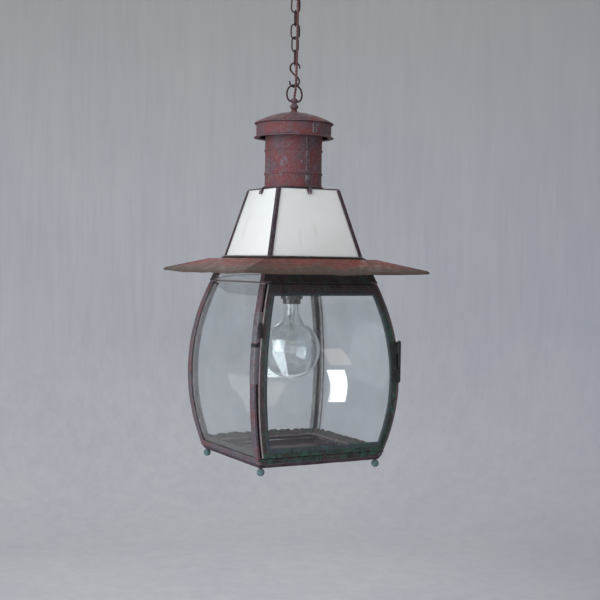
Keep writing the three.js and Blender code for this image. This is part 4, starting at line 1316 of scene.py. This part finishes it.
# %% Door pane
door_glass = slab("door_glass", (-(door_half - 2), -CAGE_HALF - 3.6, DOOR_FOOT + 2),
                  (door_half - 2, -CAGE_HALF - 1.2, DOOR_TOP - 2))
bpy.ops.object.mode_set(mode="OBJECT")
cut_across(door_glass)
bowed(door_glass)
keep(door_glass, "door", "clear_glass", "door_pane")

# %% [markdown]
# ## Hinge and latch
# The door hangs on one long butt hinge just above the cage's widest place. Its pin stands upright,
# because a leaning pin would lift the open door into the brim, and its leaves follow the bow behind it.
# Its knuckles are short turned tubes. The latch is a flat turn button on the other post, on a stud that
# it turns about.

# %% Hinge
HINGE_X = 125.5
HINGE_Y = -132.4
HINGE_Z = -139.3
HINGE_LENGTH = 64.0
LEAF_THICK = 0.9
STRAP_THICK = 0.8
third = HINGE_LENGTH / 3
hinge_top = HINGE_Z + HINGE_LENGTH / 2
hinge_foot = HINGE_Z - HINGE_LENGTH / 2


def knuckle(name, top, foot):
    return turned(name, [
        (1.6, top), (2.6, top), (3.0, top - 0.4), (3.0, foot + 0.4), (2.6, foot), (1.6, foot),
    ], around=(HINGE_X, HINGE_Y), corners=32)


def leaf_sheet(name, left, right, top, foot, lift, thick=LEAF_THICK):
    """A plate on the door side that keeps its upright edges and follows the bow."""
    leaf = slab(name, (left, -CAGE_HALF - lift - thick, foot), (right, -CAGE_HALF - lift, top))
    bpy.ops.object.mode_set(mode="OBJECT")
    cut_across(leaf, BOW_CUTS * 2)
    for vertex in leaf.data.vertices:
        vertex.co.y -= (cage_half((vertex.co.z - BRIM_EDGE) / MM) - CAGE_HALF) * MM
    soften(leaf, 0.25, 2)
    return leaf


leaf_lift = DOOR_PROUD + 0.5
strap_lift = leaf_lift + 0.05
strap_left = HINGE_X - 7
strap_right = HINGE_X - 1.8
door_leaf_parts = [
    knuckle("hinge_door_leaf", hinge_top, hinge_top - third + 0.3),
    knuckle("knuckle_low", hinge_foot + third - 0.3, hinge_foot),
    leaf_sheet("leaf_spine", HINGE_X - 15, HINGE_X - 6, hinge_top, hinge_foot, leaf_lift),
    leaf_sheet("leaf_upper", strap_left, strap_right, hinge_top - 0.3, hinge_top - third + 0.4,
               strap_lift, STRAP_THICK),
    leaf_sheet("leaf_lower", strap_left, strap_right, hinge_foot + third - 0.4, hinge_foot + 0.3,
               strap_lift, STRAP_THICK),
]
for number, height in enumerate((hinge_top - 6, HINGE_Z, hinge_foot + 6), start=1):
    face_y = -cage_half(height) - leaf_lift - LEAF_THICK
    spot = ((HINGE_X - 11) * MM, face_y * MM, up(height))
    door_leaf_parts.append(rivet(f"leaf_rivet_{number}", spot, (0, -1, 0), 1.5, 0.6))
door_leaf = joined(*door_leaf_parts)
keep(door_leaf, "door", "rusty_iron", "hinge_leaf_door", finish="dark_iron")
post_leaf = joined(
    knuckle("hinge_post_leaf", hinge_top - third, hinge_foot + third),
    leaf_sheet("leaf_post", strap_right, HINGE_X + 2.6, hinge_top - third - 0.2, hinge_foot + third + 0.2,
               0.3, 2.4),
)
keep(post_leaf, "lantern", "rusty_iron", "hinge_leaf_post", finish="dark_iron")
pin = turned("hinge_pin_wire", [
    (0.6, hinge_foot - 1.7), (1.7, hinge_foot - 1.4), (2.2, hinge_foot - 0.9), (2.0, hinge_foot - 0.3),
    (1.3, hinge_foot - 0.3), (1.3, hinge_top + 0.3), (2.0, hinge_top + 0.3), (2.2, hinge_top + 0.9),
    (1.7, hinge_top + 1.4), (0.6, hinge_top + 1.7),
], around=(HINGE_X, HINGE_Y), corners=28, ends="filled")
keep(pin, "lantern", "rusty_iron", "hinge_pin", finish="dark_iron")

# %% Latch
LATCH_Z = -82.0
tilt = math.asin((LATCH_Z - CAGE_WIDEST) / CAGE_BOW)
latch_x = -cage_half(LATCH_Z) + 3.4
face_y = DOOR_PROUD + 0.6
latch_spot = Matrix.Translation((latch_x * MM, -cage_half(LATCH_Z) * MM, up(LATCH_Z)))
lay = latch_spot @ Matrix.Rotation(-tilt, 4, "X")
drop_selection()
bpy.ops.mesh.primitive_cube_add(size=1, location=(0, -(face_y + 0.8) * MM, -6 * MM),
                                scale=(5 * MM, 1.6 * MM, 24 * MM))
button = named("turn_button")
settle(button)
edit(button, "EDGE")
bpy.ops.mesh.select_all(action="DESELECT")
bpy.ops.object.mode_set(mode="OBJECT")
for line in button.data.edges:
    first, second = (button.data.vertices[i].co for i in line.vertices)
    line.select = abs(first.x - second.x) < 1e-6 and abs(first.z - second.z) < 1e-6
bpy.ops.object.mode_set(mode="EDIT")
bpy.ops.mesh.bevel(offset=2.2 * MM, segments=6, affect="EDGES")
pick(button, lambda p: p.z < -10 * MM)
bpy.ops.transform.resize(value=(0.8, 1, 1), center_override=(0, 0, 0))
soften(button, 0.3)
button.data.transform(lay)
keep(button, "latch", "rusty_iron", "latch_button", finish="dark_iron")
stud = rivet("latch_rivet_head", (0, -(face_y + 1.9) * MM, 0), (0, -1, 0), 2.2, 1.2)
drop_selection()
bpy.ops.mesh.primitive_cylinder_add(vertices=20, radius=1.2 * MM, depth=(face_y + 1.5) * MM,
                                    location=(0, -(face_y + 2.3) / 2 * MM, 0), rotation=(math.pi / 2, 0, 0))
shank = named("rivet_shank")
settle(shank)
drop_selection()
bpy.ops.mesh.primitive_cylinder_add(vertices=20, radius=2.3 * MM, depth=(face_y - 1.0) * MM,
                                    location=(0, -(face_y / 2 + 0.3) * MM, 0), rotation=(math.pi / 2, 0, 0))
collar = named("rivet_collar")
settle(collar)
soften(collar, 0.3)
stud = joined(stud, shank, collar)
stud.data.transform(lay)
keep(stud, "lantern", "brass", "latch_rivet", finish="dark_iron")

# %% [markdown]
# ## Mends on the old frame
# The free-edge post has been mended more than once: a long soldered sleeve is wrapped round it, an iron
# band holds the sleeve's upper end, and a shorter skin of solder covers the post above that. Each is a
# length of the post itself, swollen a little and dented. Blobs of solder fill the feet of the posts.
# These pieces are small, but they are what makes the frame read as an old, used thing.

# %% Sleeve, cover plate and solder
def wrapped(name, low, high, swell, rough, finish, seed):
    """A sleeve round the free-edge post: a length of the post itself, swollen a little."""
    sleeve = copy_of(bpy.data.objects["post_left"], name)
    edit(sleeve)
    for height, below in ((low, True), (high, False)):
        bpy.ops.mesh.select_all(action="SELECT")
        bpy.ops.mesh.bisect(plane_co=(0, 0, up(height)), plane_no=(0, 0, 1), use_fill=True,
                            clear_inner=below, clear_outer=not below)
    bpy.ops.mesh.select_all(action="SELECT")
    bpy.ops.mesh.normals_make_consistent(inside=False)
    bpy.ops.transform.shrink_fatten(value=swell * MM)
    bpy.ops.object.mode_set(mode="OBJECT")
    dented(sleeve, rough, 5, seed)
    keep(sleeve, "lantern", "lead_grey", finish=finish)


wrapped("solder_sleeve", -166, -112.5, 0.75, 0.9, "solder_skin", 61)
wrapped("repair_band", -111.5, -107.5, 1.0, 0.3, "dark_iron", 63)
wrapped("cover_plate", -104.5, -60, 0.5, 0.7, "solder_skin", 65)
blob_out = foot_half - 5.6
for face, angle in FACES:
    drop_selection()
    bpy.ops.mesh.primitive_ico_sphere_add(subdivisions=4, radius=5.5 * MM)
    blob = named(f"solder_{face}")
    edit(blob)
    bpy.ops.mesh.select_all(action="SELECT")
    bpy.ops.transform.resize(value=(1.0, 1.0, 0.65), center_override=(0, 0, 0))
    bpy.ops.object.mode_set(mode="OBJECT")
    blob.data.transform(Matrix.Translation((blob_out * MM, -blob_out * MM, up(-289.5))))
    blob.data.transform(Matrix.Rotation(math.radians(angle), 4, "Z"))
    dented(blob, 2.6, 5, 67 + angle / 30)
    keep(blob, "lantern", "lead_grey")

# %% [markdown]
# ## The lamp
# A brass tube comes down from the finial with the flex inside it and carries a bakelite bayonet
# lampholder. The lamp is a large clear globe on a brass cap, with a glass stem that holds a zigzag
# filament on fine wires. The globe is turned with an inner and an outer wall, as blown glass is.

# %% Rod and lampholder
rod = turned("rod_tube", [
    (3.4, 250.8), (4.7, 250.8), (5, 250.5), (5, -11.7), (4.7, -12), (3.4, -12),
], corners=32)
keep(rod, "lantern", "brass", "lamp_rod")
holder_cap = turned("holder_cap_moulding", [
    (5.4, -4), (7.4, -4), (8, -4.6), (8.3, -7.4), (9.8, -9.6), (12.6, -12.2), (14.3, -14.4), (14.7, -16),
    (14.7, -21.6), (14.3, -22), (12.9, -22), (12.9, -16), (8, -10.8), (5.4, -10.8),
], corners=56)
keep(holder_cap, "lantern", "bakelite", "lampholder_cap")
holder = turned("holder_body", [
    (4, -22.3), (14.3, -22.3), (14.7, -22.8), (14.7, -27), (14.2, -27.6), (14.2, -29.4), (14.7, -30),
    (14.7, -48.4), (14.9, -49.4), (14.9, -51.4), (14.4, -52), (13.3, -52), (13.0, -50), (13.0, -27.2),
    (4, -27.2),
], corners=56, ends="filled")
keep(holder, "lantern", "bakelite", "lampholder")
COLLAR_FACES = 72
collar = turned("shade_collar", [
    (15.1, -37), (17.2, -37), (18, -37.8), (18, -43.2), (17.2, -44), (15.1, -44),
], corners=COLLAR_FACES)
edit(collar, "FACE")
bpy.ops.mesh.select_all(action="DESELECT")
bpy.ops.object.mode_set(mode="OBJECT")
for polygon in collar.data.polygons:
    spot = polygon.center
    if abs(polygon.normal.z) < 0.1 and math.hypot(spot.x, spot.y) > 17 * MM:
        slice_number = round(math.atan2(spot.y, spot.x) / (2 * math.pi / COLLAR_FACES))
        polygon.select = slice_number % 2 == 0
bpy.ops.object.mode_set(mode="EDIT")
bpy.ops.mesh.inset(thickness=0.25 * MM, depth=-0.4 * MM, use_individual=True)
bpy.ops.object.mode_set(mode="OBJECT")
keep(collar, "lantern", "bakelite", "shade_ring")

# %% Globe, cap and stem
GLOBE_RADIUS = 47.5
GLOBE_CENTRE = -126.8
inner = GLOBE_RADIUS - 1.1
globe = turned("globe_glass", [
    (0.8, GLOBE_CENTRE - GLOBE_RADIUS), *arc(0, GLOBE_CENTRE, GLOBE_RADIUS, GLOBE_RADIUS, -86, 64, 40),
    (18.6, -82.2), (16.4, -78.6), (14.4, -74.4), (12.8, -69), (11.8, -63), (11.2, -56), (11, -50.2),
    (10, -50.2), (10.2, -56), (10.8, -63), (11.8, -69.4), (13.4, -75), (15.6, -79.6),
    *arc(0, GLOBE_CENTRE, inner, inner, 64, -86, 40), (0.8, GLOBE_CENTRE - inner),
], corners=96, ends="filled")
keep(globe, "lantern", "lamp_glass", "lamp_globe", smooth=60)
cap_shell = turned("bayonet_cap", [
    (3, -29), (10.4, -29), (11, -29.6), (11, -48.2), (11.3, -49.7), (9.4, -49.7), (9.4, -31), (3, -31),
], corners=48, ends="filled")
keep(cap_shell, "lantern", "brass", "lamp_cap")
stem = turned("stem_glass", [
    (5, -31.4), (6.5, -32), (6.5, -56), (6.1, -62), (5.2, -70), (4.1, -78), (3.1, -85), (2.2, -92),
    (1.7, -97), (2.1, -99.5), (2.3, -101.5), (1.7, -102.8), (0.6, -103),
], corners=40, ends="filled")
keep(stem, "lantern", "lamp_glass", "lamp_stem")
for number, turn_pin in enumerate((30, 210), start=1):
    angle = math.radians(turn_pin)
    way = Vector((math.cos(angle), math.sin(angle), 0))
    pin_head = rivet(f"bayonet_pin_{number}", way * 10.9 * MM + Vector((0, 0, up(-44))), way, 1.1, 1.6)
    keep(pin_head, "lantern", "brass")

# %% Filament and its wires
wires = []
for number, sign in enumerate((-1, 1), start=1):
    wires.append(bent_wire(f"lead_in_{number}", [
        (sign * 1.2, 0, -76), (sign * 1.6, 0, -86), (sign * 4.6, 0, -100), (sign * 8.4, 0, -112),
        (sign * 9.4, 0, -115),
    ], 0.8, smooth=6, place=(0, 0, BRIM_EDGE / MM)))
for number, (x, y) in enumerate(((-5.4, 2.2), (-1.8, 3.4), (1.8, 3.4), (5.4, 2.2)), start=1):
    wires.append(bent_wire(f"support_{number}", [
        (x * 0.1, y * 0.1, -100), (x * 0.5, y * 0.6, -105), (x, y, -111), (x, y - 0.8, -112.4),
    ], 0.5, smooth=6, place=(0, 0, BRIM_EDGE / MM)))
ZIGZAG_HALF = 9.2
ZIGZAG_DEPTH = 5.2
ZIGZAG_LEGS = 9
zigzag = [(-ZIGZAG_HALF, 0, -115)]
for i in range(1, ZIGZAG_LEGS):
    share = i / ZIGZAG_LEGS
    drop = ZIGZAG_DEPTH if i % 2 else 0
    zigzag.append((ZIGZAG_HALF * (2 * share - 1), 3.6 * math.sin(math.pi * share), -112.2 - drop))
zigzag.append((ZIGZAG_HALF, 0, -115))
wires.append(bent_wire("coil", zigzag, 1.0, smooth=4, place=(0, 0, BRIM_EDGE / MM)))
filament = joined(*wires)
filament.name = "filament_mount"
filament.data.transform(Matrix.Rotation(math.radians(-28), 4, "Z"))
keep(filament, "lantern", "tungsten")

# %% [markdown]
# ## The flex
# The lamp flex is two braided cores twisted together. It leaves the rose, hangs down through the chain
# and goes into the finial's bore. It is one piece of flex about 0.53 m long, but each joint of the chain
# bends it somewhere else, and a piece can only bend across one joint. So the twisted pair is modelled
# whole, copied, and each copy is cut to the stretch between the middles of two links.

# %% The twisted pair
route = [
    (*FLEX_EXIT, -18), (*FLEX_EXIT, -28), (*FLEX_EXIT, -36), (1.9, -7.4, -50), (1.3, -5.3, -66),
    (1.3, -5.2, -86),
    (1.3, -5.2, -110), (1.3, -5.2, -135), (0.9, -5.3, -158), (0.4, -5.9, -174), (-0.1, -6.5, -188),
    (-0.3, -6.4, -204), (-0.5, -6.1, -220), (-0.6, -5.6, -228), (-0.3, -3.0, -235.5), (0, -0.4, -242.5),
    (0, 0, -247.5), (0, 0, -262), (0, 0, -300), (0, 0, -340), (0, 0, -380), (0, 0, -420), (0, 0, -460),
    (0, 0, -500), (0, 0, -549.7),
]
CORE_RADIUS = 1.14
TWIST_PITCH = 10.0
FLEX_STEP = 1.3
STEPS_PER_STRETCH = 24


def along(points, step):
    """Points every step along a smooth curve through the route."""
    spots = [Vector(point) for point in points]
    out, carried = [], 0.0
    for i in range(len(spots) - 1):
        before, first, second, after = (spots[max(0, min(len(spots) - 1, i + k))] for k in (-1, 0, 1, 2))
        for j in range(STEPS_PER_STRETCH):
            t = j / STEPS_PER_STRETCH
            spot = 0.5 * (2 * first + (second - before) * t
                          + (2 * before - 5 * first + 4 * second - after) * t ** 2
                          + (3 * first - before - 3 * second + after) * t ** 3)
            if out:
                carried += (spot - last).length
            last = spot
            if not out or carried >= step * len(out):
                out.append(spot)
    return out, carried


middle_line, flex_length = along(route, FLEX_STEP)
strands = []
for number, phase in enumerate((0, math.pi), start=1):
    strand = []
    for i, spot in enumerate(middle_line):
        angle = phase + 2 * math.pi * i * FLEX_STEP / TWIST_PITCH
        aside = CORE_RADIUS * math.cos(angle)
        ahead = CORE_RADIUS * math.sin(angle)
        strand.append((spot.x + aside, spot.y + ahead, spot.z))
    strands.append(bent_wire(f"core_{number}", strand, 2 * CORE_RADIUS, smooth=2))
flex = joined(*strands)
flex.name = "flex_pair"
print("flex length:", round(flex_length / 1000, 3), "m")

# %% Cut into stretches
links = [f"link_{number}" for number in range(1, 7)]
carriers = ["ceiling", *links, "s_hook", "ring", "lantern"]
cuts = []
for node in (*links, "s_hook", "hanging_ring"):
    low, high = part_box(node)
    cuts.append((low.z + high.z) / 2)
cuts.append(low.z - 1.5 * MM)
for number, (upper_body, lower_body) in enumerate(zip(carriers, carriers[1:])):
    top, foot = (None if number == 0 else cuts[number - 1]), cuts[number]
    piece = copy_of(flex, f"flex_{upper_body}_to_{lower_body}")
    edit(piece)
    for height, clear in ((top, "clear_outer"), (foot, "clear_inner")):
        if height is not None:
            bpy.ops.mesh.select_all(action="SELECT")
            bpy.ops.mesh.bisect(plane_co=(0, 0, height), plane_no=(0, 0, 1), use_fill=True, **{clear: True})
    bpy.ops.object.mode_set(mode="OBJECT")
    settle(piece)
    bpy.ops.object.shade_smooth()
    piece.data.materials.append(finishes["flex_cloth"])
    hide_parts("flex")
    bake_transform(piece)
    print(piece.name, len(piece.data.polygons), "faces")
edit(flex)
bpy.ops.mesh.select_all(action="SELECT")
bpy.ops.mesh.bisect(plane_co=(0, 0, cuts[-1]), plane_no=(0, 0, 1), use_fill=True, clear_outer=True)
bpy.ops.object.mode_set(mode="OBJECT")
flex.name = "flex_in_rod"
keep(flex, "lantern", "flex_cloth", "flex", smooth=60)

# %% [markdown]
# ## Pieces that stay as they are
# A few hidden pieces already have the right shape: the ceiling plate under the rose, the nut under the
# finial and the three straps that hold the drum off the tube. They only get their finish.

# %% Finishes for the frame's own pieces
for node, slot in (("ceiling_plate", "rusty_iron"), ("finial_nut", "brass"), ("vent_strap_1", "brown_paint"),
                   ("vent_strap_2", "brown_paint"), ("vent_strap_3", "brown_paint")):
    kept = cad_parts[node]
    kept.data.materials.clear()
    kept.data.materials.append(finishes[slot])

# %% [markdown]
# ## The stage
# A round floor curves up into a wall on all sides. It is turned like the lantern's round pieces, far
# enough out that the camera can walk round inside it. Its plaster has a faint mottle and brush streaks,
# is painted darker towards the camera's right as painted shade, and turns greyer towards the top.

# %% Backdrop
tree, shader = new_finish("plaster")
mottle = effect(tree, "patches", scale=2.2, level=0.5, softness=0.3, shift=0.5)
wall_colour = blend_colour(tree, mottle, tint("c8c8cb"), tint("c0c1c6"))
WALL_STREAKS = (
    (16.0, 0.46, 3.0, 0.12, "dadada"), (28.0, 0.47, 6.0, 0.12, "a9acb1"), (60.0, 0.46, 8.0, 0.10, "d3d3d1"),
)
for scale, level, shift, strength, streak in WALL_STREAKS:
    brushed = effect(tree, "runs", scale=scale, level=level, shift=shift)
    wall_colour = blend_colour(tree, sums(tree, "MULTIPLY", brushed, strength), wall_colour, tint(streak))
# Painted shade: the wall is painted darker and bluer towards the camera's right, away from the main light. It
# also turns greyer and darker towards the top.
place = put(tree, "ShaderNodeSeparateXYZ", Vector=object_place(tree)).outputs
share_x = sums(tree, "MULTIPLY", place["X"], 0.88)
share_y = sums(tree, "MULTIPLY", place["Y"], 0.47)
across = sums(tree, "SUBTRACT", share_x, share_y)
wall_colour = blend_colour(tree, ranged(tree, across, -0.2, 2.0, 0.0, 0.45), wall_colour, tint("9a9da6"))
wall_colour = blend_colour(tree, ranged(tree, place["Z"], -0.6, 1.0, 0.0, 0.5), wall_colour, tint("a09f9a"))
tree.links.new(wall_colour, shader.inputs["Base Color"])
shader.inputs["Roughness"].default_value = 0.95
FLOOR = cad_box[0][2] - 0.75
COVE = 900
stage = turned("backdrop", [
    (200, FLOOR / MM), (2600, FLOOR / MM), *arc(2600, FLOOR / MM + COVE, COVE, COVE, -80, 0, 8),
    (3500, 1150),
], corners=64, ends="open", height=row)
edit(stage)
pick(stage, lambda p: math.hypot(p.x, p.y) < 0.21)
bpy.ops.mesh.edge_face_add()
bpy.ops.object.mode_set(mode="OBJECT")
settle(stage)
bpy.ops.object.shade_smooth()
stage.data.materials.append(finishes["plaster"])
